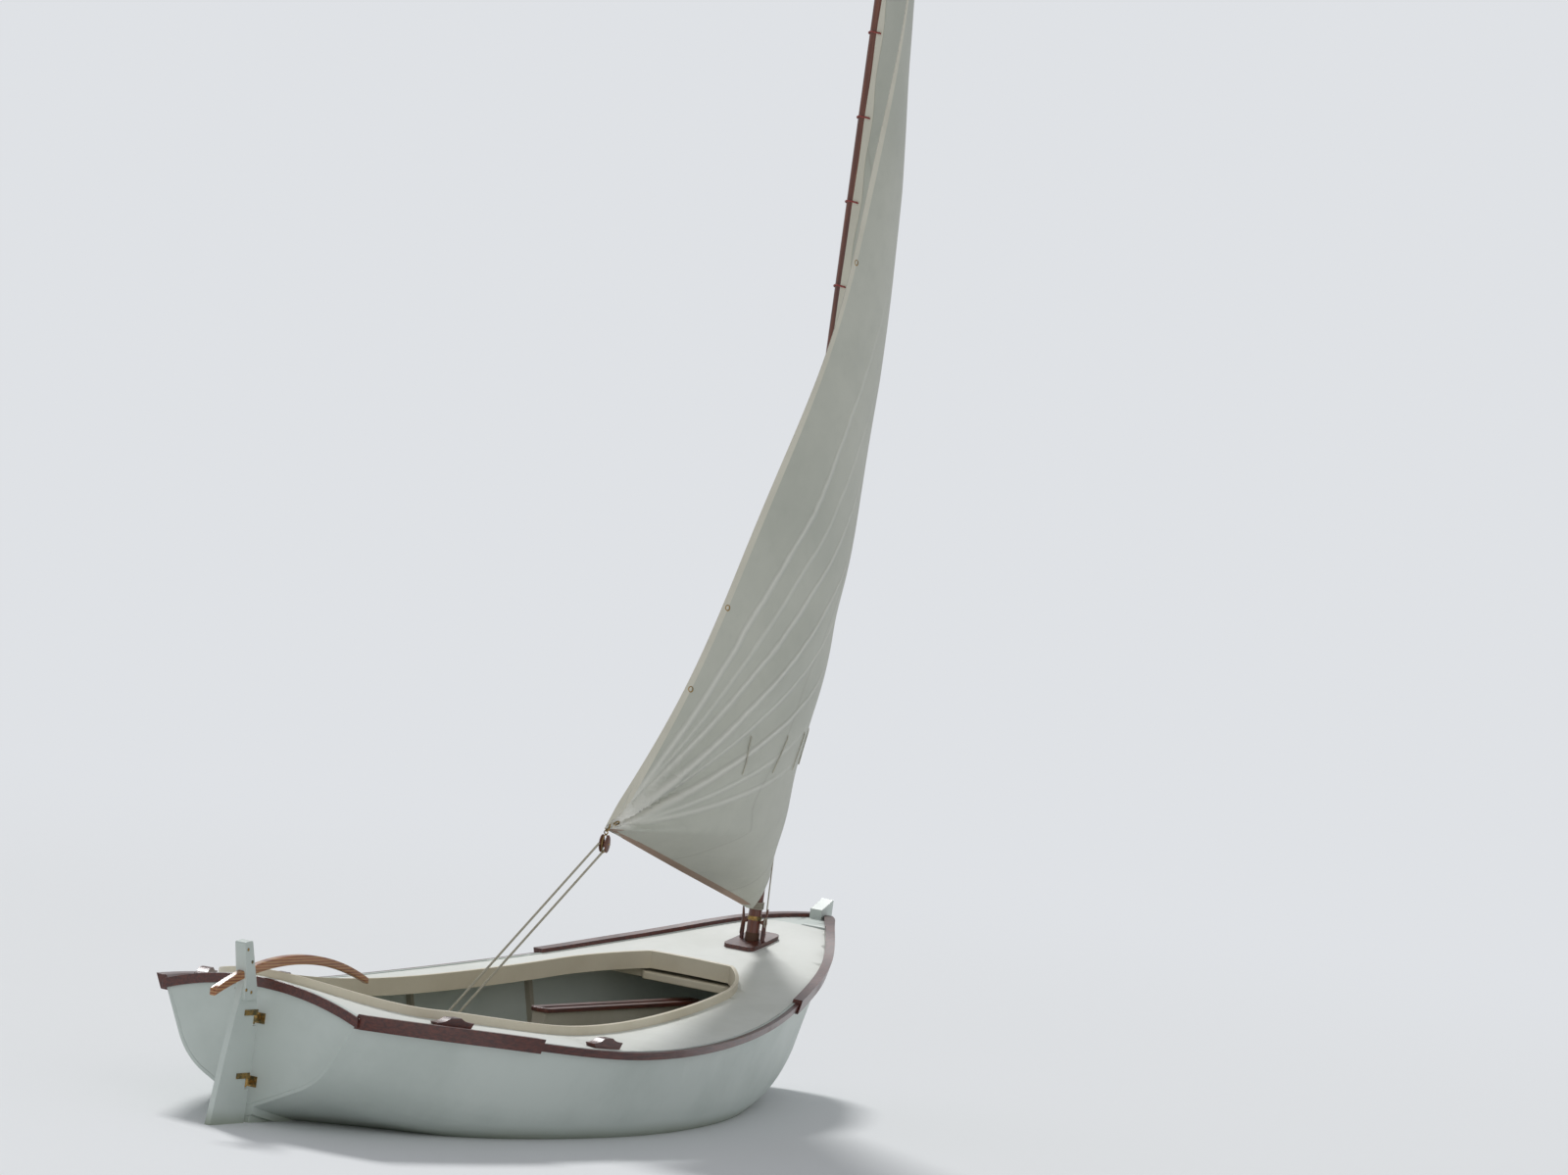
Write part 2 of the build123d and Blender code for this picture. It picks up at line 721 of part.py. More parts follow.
# Gudgeons on the transom, pintles on the rudder
axis_x = transom_x - axis_back
with BuildPart() as gudgeons:
    for height in gudgeon_heights:
        with BuildSketch(Plane.XY.offset(height)):
            with Locations((axis_x, 0)):
                Circle(gudgeon_radius)
            with Locations(((axis_x + transom_x) / 2, 0)):
                Rectangle(axis_back, gudgeon_radius)
            with Locations((axis_x, 0)):
                Circle(pintle_radius + pintle_clear, mode=Mode.SUBTRACT)
        extrude(amount=gudgeon_tall)
        add(block(transom_x - gudgeon_plate, transom_x, -gudgeon_strap / 2, gudgeon_strap / 2,
                  height - gudgeon_margin, height + gudgeon_tall + gudgeon_margin))
save(gudgeons.part, "gudgeons")

with BuildPart() as pintles:
    for height in gudgeon_heights:
        boss_low = height + gudgeon_tall + pintle_lift
        with Locations((axis_x, 0, boss_low)):
            Cylinder(pintle_boss, pintle_tall, align=(Align.CENTER, Align.CENTER, Align.MIN))
        with Locations((axis_x, 0, height - pintle_below)):
            Cylinder(pintle_radius, pintle_below + gudgeon_tall + 2 * pintle_lift,
                     align=(Align.CENTER, Align.CENTER, Align.MIN))
        for hand in (-1, 1):
            near, far = sorted((hand * stock_thick / 2, hand * (stock_thick / 2 + gudgeon_plate)))
            add(block(axis_x - pintle_strap, axis_x, near, far, boss_low, boss_low + pintle_tall))
save(pintles.part, "pintles")

# Tiller, arched in side view, through a mortise in the rudder's head
with BuildPart() as tiller:
    with BuildSketch(Plane.XZ):
        with BuildLine():
            top = ThreePointArc(tiller_tail, tiller_crest, tiller_tip)
            low = ThreePointArc((tiller_tail[0], tiller_tail[1] - tiller_tail_deep),
                                (tiller_crest[0], tiller_crest[1] - tiller_crest_deep),
                                (tiller_tip[0], tiller_tip[1] - tiller_tip_deep))
            Line(top @ 0, low @ 0)
            Line(top @ 1, low @ 1)
        make_face()
    extrude(amount=tiller_width / 2, both=True)
    long_edges = edges().filter_by(Axis.Y, reverse=True).group_by(Axis.Y)
    fillet(long_edges[0] + long_edges[-1], tiller_round)
save(tiller.part, "tiller")

lead = axis_x + rudder_ahead


def from_lead(place):
    """A point of the rudder's outline, given as its distance back from the leading edge and its height."""
    return (lead - place[0], place[1])


with BuildPart() as rudder_plate:
    with BuildSketch(Plane.XZ):
        with BuildLine():
            head = Polyline((lead, blade_front_low), (lead, shoulder_low), from_lead(shoulder),
                            from_lead(head_front), from_lead(head_back), from_lead(head_neck),
                            from_lead(stock_back))
            back = ThreePointArc(head @ 1, from_lead(blade_bulge), from_lead(blade_heel))
            sole = ThreePointArc(back @ 1, from_lead(blade_sole), from_lead(blade_toe))
            Line(sole @ 1, head @ 0)
        make_face()
        fillet(vertices().group_by(Axis.Y)[-1] + vertices().group_by(Axis.Y)[-2], head_round)
    extrude(amount=stock_thick / 2, both=True)
    for height in gudgeon_heights:
        add(block(axis_x - gudgeon_radius - notch_clear, lead, -stock_thick, stock_thick,
                  height - pintle_below - notch_clear, height + gudgeon_tall + pintle_lift), mode=Mode.SUBTRACT)
    add(pintles.part, mode=Mode.SUBTRACT)
    add(tiller.part, mode=Mode.SUBTRACT)

with BuildPart() as rudder_blade:
    add(rudder_plate.part.solids().sort_by(Axis.Z)[0])
save(rudder_blade.part, "rudder_blade")

with BuildPart() as rudder_head:
    add(rudder_plate.part.solids().sort_by(Axis.Z)[-1])
save(rudder_head.part, "rudder_head")

with BuildPart() as rudder_cheeks:
    for hand in (-1, 1):
        with BuildSketch(Plane.XZ.offset(-hand * (stock_thick + cheek_thick) / 2)):
            with BuildLine():
                Polyline((lead - shoulder[0], cheek_bottom), from_lead(shoulder), from_lead(head_front),
                         from_lead(head_back), from_lead(head_neck), (lead - head_neck[0], cheek_bottom),
                         close=True)
            make_face()
            fillet(vertices().group_by(Axis.Y)[-1] + vertices().group_by(Axis.Y)[-2], head_round)
        extrude(amount=cheek_thick / 2, both=True)
    add(tiller.part, mode=Mode.SUBTRACT)
save(rudder_cheeks.part, "rudder_cheeks")

# Mast, many-sided, straight to the tack and then tapered. It turns in the partner and the step.
with BuildPart() as mast:
    for height, radius in ((mast_foot, mast_radius), (tack_height, mast_radius),
                           (mast_top - masthead_chamfer, masthead_radius),
                           (mast_top, masthead_radius - masthead_chamfer)):
        with BuildSketch(Plane.XY.offset(height)):
            with Locations((mast_x, 0)):
                RegularPolygon(radius, mast_sides)
    loft(ruled=True)
save(mast.part, "mast")


def mast_radius_at(height):
    share = max(0, (height - tack_height) / (mast_top - tack_height))
    return mast_radius + share * (masthead_radius - mast_radius)


def sail_chord(height):
    """Luff point, leech point, leeward direction and chord of the sail at a height."""
    share = (height - clew_height) / (head_height - clew_height)
    rise = (height - tack_height) / (clew_height - tack_height)
    angle = radians(clew_angle + max(0, share) * (head_angle - clew_angle))
    chord = foot_chord + share * (head_chord - foot_chord)
    if rise < 1:
        chord = tack_chord + rise * (foot_chord - tack_chord)
    aft = Vector(-cos(angle), -sin(angle))
    leeward = Vector(sin(angle), -cos(angle))
    luff = Vector(mast_x, 0) + aft * (mast_radius_at(height) + luff_gap)
    return luff, luff + aft * chord, leeward, chord


def sail_section(height, camber):
    """The sail's section at a height, a bowed strip as thick as the cloth."""
    luff, leech, leeward, chord = sail_chord(height)
    belly = (luff + leech) / 2 + leeward * camber * chord
    lee = leeward * cloth / 2
    with BuildSketch(Plane.XY.offset(height)) as section:
        with BuildLine():
            near = ThreePointArc(luff - lee, belly - lee, leech - lee)
            far = ThreePointArc(luff + lee, belly + lee, leech + lee)
            Line(near @ 0, far @ 0)
            Line(near @ 1, far @ 1)
        make_face()
    return section.sketch


# Sail, laced to the mast: a foot of straight runs from the tack, and a smooth twisting body above the clew
with BuildPart() as sail:
    for height, camber in ((tack_height, tack_camber), sail_sections[0]):
        add(sail_section(height, camber))
    loft(ruled=True)
    for height, camber in sail_sections:
        add(sail_section(height, camber))
    loft()
save(sail.part, "sail")

# Lacing rings round the mast, let over the edge of the luff
with BuildPart() as lacing_hoops:
    for number in range(hoop_count):
        height = tack_height + hoop_first + number * hoop_pitch
        luff, leech, leeward, chord = sail_chord(height)
        shift = (luff_gap + hoop_grip - hoop_clear - hoop_thick) / 2
        centre = Vector(mast_x, 0, height) + (leech - luff).normalized() * shift
        hoop_inner = mast_radius_at(height) + hoop_clear + shift
        with BuildSketch(Plane(origin=centre)):
            RegularPolygon(hoop_inner + hoop_thick, hoop_sides, major_radius=False)
            RegularPolygon(hoop_inner, hoop_sides, major_radius=False, mode=Mode.SUBTRACT)
        extrude(amount=hoop_tall)
    add(sail.part, mode=Mode.SUBTRACT)
save(lacing_hoops.part, "lacing_hoops")


def sheet_block(place, low, post_low, post_top):
    """A round-ended block and the post that holds it, at a place in plan."""
    with BuildPart() as body:
        with BuildSketch(Plane.XZ.offset(-place.Y)):
            with Locations((place.X, low + block_length / 2)):
                SlotCenterToCenter(block_length - block_width, block_width, rotation=90)
        extrude(amount=block_thick / 2, both=True)
        with Locations((place.X, place.Y, post_low)):
            Cylinder(block_post, post_top - post_low, align=(Align.CENTER, Align.CENTER, Align.MIN))
    return body.part


# Sheet blocks, one hung from the clew and one standing on the mid thwart
clew_point = sail_chord(clew_height)[1]
clew_block_top = clew_height - block_gap
with BuildPart() as clew_block:
    add(sheet_block(clew_point, clew_block_top - block_length, clew_block_top - block_width / 4,
                    clew_height + clew_grip))
    add(sail.part, mode=Mode.SUBTRACT)
save(clew_block.part, "clew_block")

with BuildPart() as thwart_block:
    add(sheet_block(Vector(thwart_x, 0), thwart_height + block_gap, thwart_height,
                    thwart_height + block_gap + block_width / 4))
save(thwart_block.part, "thwart_block")

# Bow eye on the face of the stem
eye_x = stem_face + eye_radius + eye_clear
with BuildPart() as bow_eye:
    with BuildSketch(Plane.XZ):
        with Locations((eye_x, eye_height)):
            Circle(eye_radius + eye_ring)
        with Locations((eye_x - eye_root / 2, eye_height)):
            Rectangle(eye_root, 2 * (eye_radius + eye_ring))
        with Locations((eye_x, eye_height)):
            Circle(eye_radius, mode=Mode.SUBTRACT)
    extrude(amount=eye_thick / 2, both=True)
    add(stem.part, mode=Mode.SUBTRACT)
    add(outside, mode=Mode.SUBTRACT)
save(bow_eye.part, "bow_eye")
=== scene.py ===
import bpy
import json
import math
import random
from mathutils import Matrix, Vector


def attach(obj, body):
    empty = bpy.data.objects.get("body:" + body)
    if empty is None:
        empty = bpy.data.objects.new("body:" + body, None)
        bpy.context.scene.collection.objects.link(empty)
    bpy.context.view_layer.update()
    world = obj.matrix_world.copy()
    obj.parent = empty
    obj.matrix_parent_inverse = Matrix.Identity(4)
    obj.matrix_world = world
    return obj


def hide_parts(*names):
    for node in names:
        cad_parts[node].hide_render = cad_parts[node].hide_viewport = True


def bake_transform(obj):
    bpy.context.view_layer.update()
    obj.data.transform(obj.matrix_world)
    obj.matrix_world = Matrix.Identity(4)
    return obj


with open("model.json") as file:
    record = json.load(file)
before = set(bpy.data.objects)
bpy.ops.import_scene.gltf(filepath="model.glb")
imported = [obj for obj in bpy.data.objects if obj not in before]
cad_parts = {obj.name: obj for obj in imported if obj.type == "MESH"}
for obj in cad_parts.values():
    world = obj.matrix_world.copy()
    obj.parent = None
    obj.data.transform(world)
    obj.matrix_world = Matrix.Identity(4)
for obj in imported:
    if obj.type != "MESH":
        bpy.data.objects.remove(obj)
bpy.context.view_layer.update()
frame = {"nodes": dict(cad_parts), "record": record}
nodes = frame["nodes"]
random.seed(11)
print("frame loaded,", len(nodes), "pieces")


# Selecting and finishing

def deselectAll():
    if bpy.context.object and bpy.context.object.mode != "OBJECT":
        bpy.ops.object.mode_set(mode="OBJECT")
    bpy.ops.object.select_all(action="DESELECT")


def pick(piece):
    deselectAll()
    piece.select_set(True)
    bpy.context.view_layer.objects.active = piece


def settle(piece):
    # the place goes into the mesh, and the object stays at the origin
    pick(piece)
    bpy.ops.object.transform_apply(location=True, rotation=True, scale=True)


def shape(piece, kind, **settings):
    # a modifier, applied at once
    pick(piece)
    modifier = piece.modifiers.new(kind.title(), kind)
    for key, value in settings.items():
        setattr(modifier, key, value)
    bpy.ops.object.modifier_apply(modifier=modifier.name)


def finishPiece(piece, name, body, slotName, finishName=None, smoothAngle=60):
    # the finish is the slot's own, unless another is named
    piece.name = name
    piece.data.name = name
    settle(piece)
    bpy.ops.object.shade_smooth_by_angle(angle=math.radians(smoothAngle))
    piece.data.materials.clear()
    piece.data.materials.append(finishes[finishName or slotName])
    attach(piece, body)
    return piece


def joinAll(pieces):
    deselectAll()
    for piece in pieces:
        piece.select_set(True)
    bpy.context.view_layer.objects.active = pieces[0]
    if len(pieces) > 1:
        bpy.ops.object.join()
    return pieces[0]


def spread(low, high, count):
    return [low + (high - low) * step / (count - 1) for step in range(count)]


# Finishes

class Value:
    # a socket that takes part in Python sums
    def __init__(self, wiring, socket):
        self.wiring = wiring
        self.socket = socket

    def __add__(self, other):
        return self.wiring.maths("ADD", self, other)

    def __sub__(self, other):
        return self.wiring.maths("SUBTRACT", self, other)

    def __rsub__(self, other):
        return self.wiring.maths("SUBTRACT", other, self)

    def __mul__(self, other):
        return self.wiring.maths("MULTIPLY", self, other)

    __radd__ = __add__
    __rmul__ = __mul__


class Wiring:
    # a tree of shader nodes, emptied first
    def __init__(self, tree):
        self.tree = tree
        self.tree.nodes.clear()

    def node(self, kind, settings=None, inputs=None, output=0):
        made = self.tree.nodes.new(kind)
        for key, value in (settings or {}).items():
            setattr(made, key, value)
        for key, value in (inputs or {}).items():
            self.feed(made.inputs[key], value)
        return Value(self, made.outputs[output])

    def feed(self, socket, value):
        if isinstance(value, Value):
            self.tree.links.new(value.socket, socket)
        else:
            socket.default_value = value

    def maths(self, operation, first, second):
        return self.node("ShaderNodeMath", {"operation": operation}, {0: first, 1: second})


class Finish(Wiring):
    # a material round one main shader
    def __init__(self, name, **constants):
        self.material = bpy.data.materials.new(name)
        self.material.use_nodes = True
        super().__init__(self.material.node_tree)
        self.shader = self.tree.nodes.new("ShaderNodeBsdfPrincipled")
        self.output = self.tree.nodes.new("ShaderNodeOutputMaterial")
        self.lit = Value(self, self.shader.outputs[0])
        self.feed(self.output.inputs[0], self.lit)
        self.surface(**constants)

    def surface(self, **values):
        for key, value in values.items():
            self.feed(self.shader.inputs[key.replace("_", " ")], value)
        return self.material

    def place(self, scale=(1, 1, 1)):
        where = self.node("ShaderNodeTexCoord", output="Object")
        return self.node("ShaderNodeMapping", {}, {"Vector": where, "Scale": scale})

    def noise(self, vector, scale, detail=4.0, roughness=0.5):
        return self.node("ShaderNodeTexNoise", {}, {"Vector": vector, "Scale": scale, "Detail": detail,
                                                    "Roughness": roughness})

    def mix(self, factor, first, second):
        return self.node("ShaderNodeMix", {"data_type": "RGBA"}, {0: factor, 6: first, 7: second}, 2)

    def limit(self, value, low, high):
        return self.node("ShaderNodeMapRange", {"interpolation_type": "SMOOTHSTEP"},
                         {"Value": value, "From Min": low, "From Max": high})

    def bump(self, height, distance, strength=1.0):
        return self.node("ShaderNodeBump", {}, {"Height": height, "Distance": distance, "Strength": strength})


def tone(red, green, blue):
    # a colour as seen on a screen, from 0 to 255, to the shader's own scale
    return tuple((value / 255) ** 2.2 for value in (red, green, blue)) + (1.0,)


paintLook = {"brush": (2, 9, 9), "brushScale": 16.0, "patchScale": 2.2, "patchShare": 0.55,
             "speckScale": 60.0, "speckShare": 0.35, "stainTop": 0.1, "stainShare": 0.7, "depth": 0.0006}


def paintFinish(name, colour, worn, gloss, stain=None):
    # brushed paint: slight brush lines, chalky patches and, near the water, a stain
    finish = Finish(name, Specular_IOR_Level=0.45)
    place = finish.place()
    cloudy = finish.noise(place, paintLook["patchScale"], 5.0, 0.6)
    brushed = finish.noise(finish.place(paintLook["brush"]), paintLook["brushScale"], 3.0, 0.6)
    specks = finish.limit(finish.noise(place, paintLook["speckScale"], 3.0, 0.7), 0.66, 0.74)
    colourNow = finish.mix(finish.limit(cloudy, 0.35, 0.75) * paintLook["patchShare"], colour, worn)
    colourNow = finish.mix(specks * paintLook["speckShare"], colourNow, worn)
    if stain:
        height = finish.node("ShaderNodeSeparateXYZ", {}, {0: place}, "Z")
        low = 1.0 - finish.limit(height + cloudy * 0.06, 0.01, paintLook["stainTop"])
        colourNow = finish.mix(low * paintLook["stainShare"], colourNow, stain)
    rough = finish.limit(cloudy, 0.2, 0.8) * 0.12 + (gloss + brushed * 0.06)
    return finish.surface(Base_Color=colourNow, Roughness=rough,
                          Normal=finish.bump(brushed * 0.6 + specks * 0.4, paintLook["depth"], 0.5))


woodLook = {"streakScale": 5.0, "poreScale": 9.0, "poresFiner": 5, "poreShare": 0.5, "rubScale": 6.0,
            "rubShare": 0.35, "rubDull": 0.25, "depth": 0.0004}
tillerBands = {"along": (0.15, 1, 1), "scale": 26.0, "share": 0.5, "colour": tone(202, 160, 108)}


def woodFinish(name, dark, light, along=(1.2, 22, 22), gloss=0.34, coat=0.5, laminate=None):
    # grain runs along the stretched direction, with streaks, pores and rubbed patches
    finish = Finish(name, Coat_Weight=coat, Coat_Roughness=0.3, Specular_IOR_Level=0.5)
    streak = finish.noise(finish.place(along), woodLook["streakScale"], 6.0, 0.65)
    finer = tuple(woodLook["poresFiner"] * value for value in along)
    pores = finish.noise(finish.place(finer), woodLook["poreScale"], 2.0, 0.6)
    rubbed = finish.noise(finish.place(), woodLook["rubScale"], 4.0, 0.6)
    colourNow = finish.mix(finish.limit(streak, 0.3, 0.72), dark, light)
    colourNow = finish.mix(finish.limit(pores, 0.62, 0.72) * woodLook["poreShare"], colourNow, dark)
    colourNow = finish.mix(finish.limit(rubbed, 0.6, 0.8) * woodLook["rubShare"], colourNow, light)
    if laminate:
        bands = finish.node("ShaderNodeTexWave", {"bands_direction": "Z"}, {
            "Vector": finish.place(laminate["along"]), "Scale": laminate["scale"], "Distortion": 0.4})
        shown = finish.limit(bands, 0.45, 0.55) * laminate["share"]
        colourNow = finish.mix(shown, colourNow, laminate["colour"])
    rough = gloss + finish.limit(rubbed, 0.45, 0.8) * woodLook["rubDull"]
    return finish.surface(Base_Color=colourNow, Roughness=rough,
                          Normal=finish.bump(streak * 0.6 + pores * 0.4, woodLook["depth"], 0.5))


def metalFinish(name, bright, dull, gloss):
    # bright metal with dull, pitted patches
    finish = Finish(name)
    place = finish.place()
    patches = finish.noise(place, 40.0, 5.0, 0.65)
    pits = finish.noise(place, 220.0, 2.0, 0.6)
    old = finish.limit(patches, 0.4, 0.65)
    return finish.surface(Base_Color=finish.mix(old, bright, dull), Metallic=1.0 - old * 0.45,
                          Roughness=old * 0.3 + gloss, Normal=finish.bump(pits, 0.0003, 0.6))


def ropeFinish(name, colour, shade, turns=60.0):
    # strands cross the rope at a slant, read from its own map
    finish = Finish(name, Sheen_Weight=0.3, Roughness=0.85)
    where = finish.node("ShaderNodeTexCoord", output="UV")
    slanted = finish.node("ShaderNodeMapping", {}, {"Vector": where, "Rotation": (0, 0, 0.5),
                                                   "Scale": (turns, 3.0, 1.0)})
    strands = finish.node("ShaderNodeTexWave", {}, {"Vector": slanted, "Scale": 1.0})
    fuzz = finish.noise(finish.place(), 500.0, 2.0, 0.6)
    return finish.surface(Base_Color=finish.mix(strands * 0.6 + fuzz * 0.4, shade, colour),
                          Normal=finish.bump(strands + fuzz * 0.3, 0.0012, 0.8))


# each ridge of the creases has its angle up from the clew, its length and its strength, which sets both its
# relief and its painted highlight
clothLook = {
    "panel": 0.78, "seam": (0.004, 0.009), "seamShare": 0.16, "lap": (0.016, 0.018), "lapShare": 0.35,
    "clew": 1.21, "leechSlope": 0.4298, "threads": 180.0, "ridgeWide": 0.020, "ridgeHighlightShare": 0.55,
    # the pale colour is a painted highlight laid along the crease ridges
    "pale": tone(240, 238, 228),
    "ridges": ((0.22, 1.6, 0.7), (0.33, 1.6, 0.7), (0.47, 2.0, 1.0), (0.60, 2.1, 0.8),
               (0.73, 2.3, 1.0), (0.84, 2.5, 0.9), (0.94, 2.7, 0.6), (1.03, 2.9, 0.9)),
}


def clothFinish(name, colour, shade, stitchColour):
    # woven cloth, its map in metres of cloth, with faint panels, damp marks and a fan of creases at the clew,
    # whose ridges carry a painted highlight
    finish = Finish(name, Sheen_Weight=0.25, Sheen_Roughness=0.5, Specular_IOR_Level=0.3)
    where = finish.node("ShaderNodeTexCoord", output="UV")
    forward = finish.node("ShaderNodeSeparateXYZ", {}, {0: where}, "X")
    rise = finish.node("ShaderNodeSeparateXYZ", {}, {0: where}, "Y") - clothLook["clew"]
    across = forward - finish.maths("MAXIMUM", rise, 0.0) * clothLook["leechSlope"]
    warp, weft = (finish.node("ShaderNodeTexWave", {"bands_direction": direction}, {
        "Vector": where, "Scale": clothLook["threads"]}) for direction in "XY")
    cloudy = finish.noise(finish.place(), 1.3, 5.0, 0.6)
    fine = finish.noise(finish.place(), 14.0, 4.0, 0.6)
    panel = finish.maths("PINGPONG", across, clothLook["panel"] / 2)
    slope = finish.maths("ARCTAN2", rise, forward) + (cloudy - 0.5) * 0.06
    reach = finish.node("ShaderNodeVectorMath", {"operation": "DISTANCE"}, {
        0: where, 1: (0, clothLook["clew"], 0)}, "Value")
    ridges = 0.0
    for angle, length, strength in clothLook["ridges"]:
        off = finish.maths("ABSOLUTE", slope - angle, 0.0) * reach
        line = 1.0 - finish.limit(off, 0.001, clothLook["ridgeWide"])
        fade = 1.0 - finish.limit(reach, length * 0.45, length)
        ridges = line * fade * strength + ridges
    seam = 1.0 - finish.limit(panel, *clothLook["seam"])
    lap = (1.0 - finish.limit(panel, *clothLook["lap"])) * 0.5
    colourNow = finish.mix(finish.limit(cloudy, 0.3, 0.75) * 0.7, colour, shade)
    colourNow = finish.mix(finish.limit(fine, 0.45, 0.8) * 0.25, colourNow, shade)
    colourNow = finish.mix(lap * clothLook["lapShare"], colourNow, shade)
    colourNow = finish.mix(seam * clothLook["seamShare"], colourNow, stitchColour)
    # painted highlight: the crease ridges are painted paler, where light would catch them
    colourNow = finish.mix(ridges * clothLook["ridgeHighlightShare"], colourNow, clothLook["pale"])
    relief = warp * weft * 0.02 + lap * 0.08 + fine * 0.03 + ridges
    return finish.surface(Base_Color=colourNow, Roughness=fine * 0.15 + 0.62,
                          Normal=finish.bump(relief, 0.012, 0.8))


finishes = {
    "white_paint": paintFinish("topsidePaint", tone(206, 214, 208), tone(184, 194, 187), 0.38,
                               stain=tone(128, 136, 112)),
    "deck_paint": paintFinish("deckPaint", tone(226, 228, 222), tone(205, 207, 198), 0.42),
    "cream_paint": paintFinish("coamingPaint", tone(221, 212, 190), tone(196, 184, 158), 0.3),
    "inside_paint": paintFinish("insidePaint", tone(176, 170, 156), tone(140, 130, 112), 0.5),
    "rail_varnish": woodFinish("railVarnish", tone(58, 28, 26), tone(104, 52, 40)),
    "spar_varnish": woodFinish("sparVarnish", tone(84, 44, 34), tone(128, 74, 52), along=(24, 24, 0.9)),
    "tiller_varnish": woodFinish("tillerVarnish", tone(120, 66, 36), tone(168, 102, 58), gloss=0.3,
                                 laminate=tillerBands),
    "board_varnish": woodFinish("boardVarnish", tone(104, 66, 40), tone(158, 108, 66), along=(20, 20, 1.0),
                                gloss=0.35, coat=0.3),
    "sailcloth": clothFinish("sailcloth", tone(196, 197, 184), tone(174, 177, 165), tone(140, 130, 114)),
    "tape": paintFinish("sailTape", tone(216, 212, 196), tone(196, 192, 176), 0.7),
    "footTape": paintFinish("footTape", tone(176, 150, 134), tone(150, 126, 112), 0.7),
    "tie": ropeFinish("tieCord", tone(236, 233, 216), tone(206, 202, 184)),
    "lacing": ropeFinish("lacingRope", tone(176, 62, 50), tone(120, 38, 34), 30.0),
    "rope": ropeFinish("sheetRope", tone(206, 200, 182), tone(150, 142, 122)),
    "block_wood": woodFinish("blockWood", tone(70, 38, 26), tone(120, 70, 44), along=(12, 12, 2), gloss=0.3),
    "bronze": metalFinish("bronze", tone(176, 142, 88), tone(96, 92, 66), 0.28),
    "leather": paintFinish("mastLeather", tone(92, 66, 48), tone(70, 50, 38), 0.6),
}
slotOf = {row["node"]: row["material_slot"] for row in frame["record"]["subparts"]}
bodyOf = {name: body for body, names in frame["record"]["behaviour"]["bodies"].items() for name in names}
print("finishes made")


# Rigid pieces: a merged copy of each listed piece and of the hull's planking, with softened edges where a
# width is given, stands for it; the other pieces keep their own meshes and take their slot's finish

softEdges = {
    "transom": 0.003, "transom_rail": 0.004, "stem": 0.005, "foredeck": 0, "aft_deck": 0,
    "keel": 0, "skeg": 0.004,
    "side_deck_port": 0, "side_deck_starboard": 0,
    "coaming_forward": 0.003, "coaming_aft": 0.003, "coaming_port": 0.003, "coaming_starboard": 0.003,
    "rub_rail_port": 0.006, "rub_rail_starboard": 0.006, "bow_rail_port": 0.006, "bow_rail_starboard": 0.006,
    "quarter_rail_port": 0.006, "quarter_rail_starboard": 0.006,
    "mid_thwart": 0.004, "mast_thwart": 0.005, "stern_seat": 0.004, "case_cap": 0.004,
    "rudder_blade": 0.004, "rudder_head": 0.003, "rudder_cheeks": 0.003, "tiller": 0,
    "rowlock_chock_1_port": 0.004, "rowlock_chock_1_starboard": 0.004,
    "rowlock_chock_2_port": 0.004, "rowlock_chock_2_starboard": 0.004,
    "mast_partner": 0.004, "centreboard": 0.004,
}
cleaning = {"merge": 0.00002, "skinMerge": 0.0001, "slivers": 0.0002, "flatAngle": 0.05, "edgeAngle": 50,
            "smoothAngle": 35}


def plainCopy(name):
    pick(nodes[name])
    bpy.ops.object.duplicate()
    copy = bpy.context.object
    copy.parent = None
    copy.matrix_world = Matrix.Identity(4)
    copy.modifiers.clear()
    for key in list(copy.keys()):
        del copy[key]
    return copy


def dressNode(name, soft):
    copy = plainCopy(name)
    bpy.ops.object.mode_set(mode="EDIT")
    bpy.ops.mesh.select_all(action="SELECT")
    bpy.ops.mesh.remove_doubles(threshold=cleaning["merge"])
    bpy.ops.mesh.dissolve_degenerate(threshold=cleaning["slivers"])
    bpy.ops.mesh.dissolve_limited(angle_limit=math.radians(cleaning["flatAngle"]))
    bpy.ops.object.mode_set(mode="OBJECT")
    if soft:
        shape(copy, "BEVEL", width=soft, segments=2, limit_method="ANGLE",
              angle_limit=math.radians(cleaning["edgeAngle"]), use_clamp_overlap=True)
    finishPiece(copy, name + "_dressed", bodyOf[name], slotOf[name], smoothAngle=cleaning["smoothAngle"])
    shape(copy, "WEIGHTED_NORMAL", keep_sharp=True, mode="FACE_AREA", weight=50)
    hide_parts(name)
    return copy


def dressSkin(side):
    # the three lengths of planking, made one skin without the ends that met
    names = [f"hull_shell_{length}_{side}" for length in ("aft", "middle", "fore")]
    skin = joinAll([plainCopy(name) for name in names])
    bpy.ops.object.mode_set(mode="EDIT")
    bpy.ops.mesh.select_all(action="SELECT")
    bpy.ops.mesh.remove_doubles(threshold=cleaning["skinMerge"])
    bpy.ops.mesh.select_all(action="DESELECT")
    bpy.ops.mesh.select_interior_faces()
    bpy.ops.mesh.delete(type="FACE")
    bpy.ops.mesh.select_all(action="SELECT")
    bpy.ops.mesh.dissolve_degenerate(threshold=cleaning["slivers"])
    bpy.ops.object.mode_set(mode="OBJECT")
    finishPiece(skin, "hull_skin_" + side, "hull", "white_paint", smoothAngle=cleaning["smoothAngle"])
    shape(skin, "WEIGHTED_NORMAL", keep_sharp=True, mode="FACE_AREA", weight=50)
    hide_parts(*names)
    return skin


for nodeName, node in nodes.items():
    if nodeName in softEdges or nodeName.startswith("hull_shell"):
        continue
    if not node.material_slots:
        node.data.materials.append(finishes[slotOf[nodeName]])
    for slot in node.material_slots:
        slot.link = "OBJECT"
        slot.material = finishes[slotOf[nodeName]]
dressed = {name: dressNode(name, soft) for name, soft in softEdges.items()}
skins = {side: dressSkin(side) for side in ("port", "starboard")}
print("rigid pieces dressed:", len(dressed) + len(skins))


# Sail

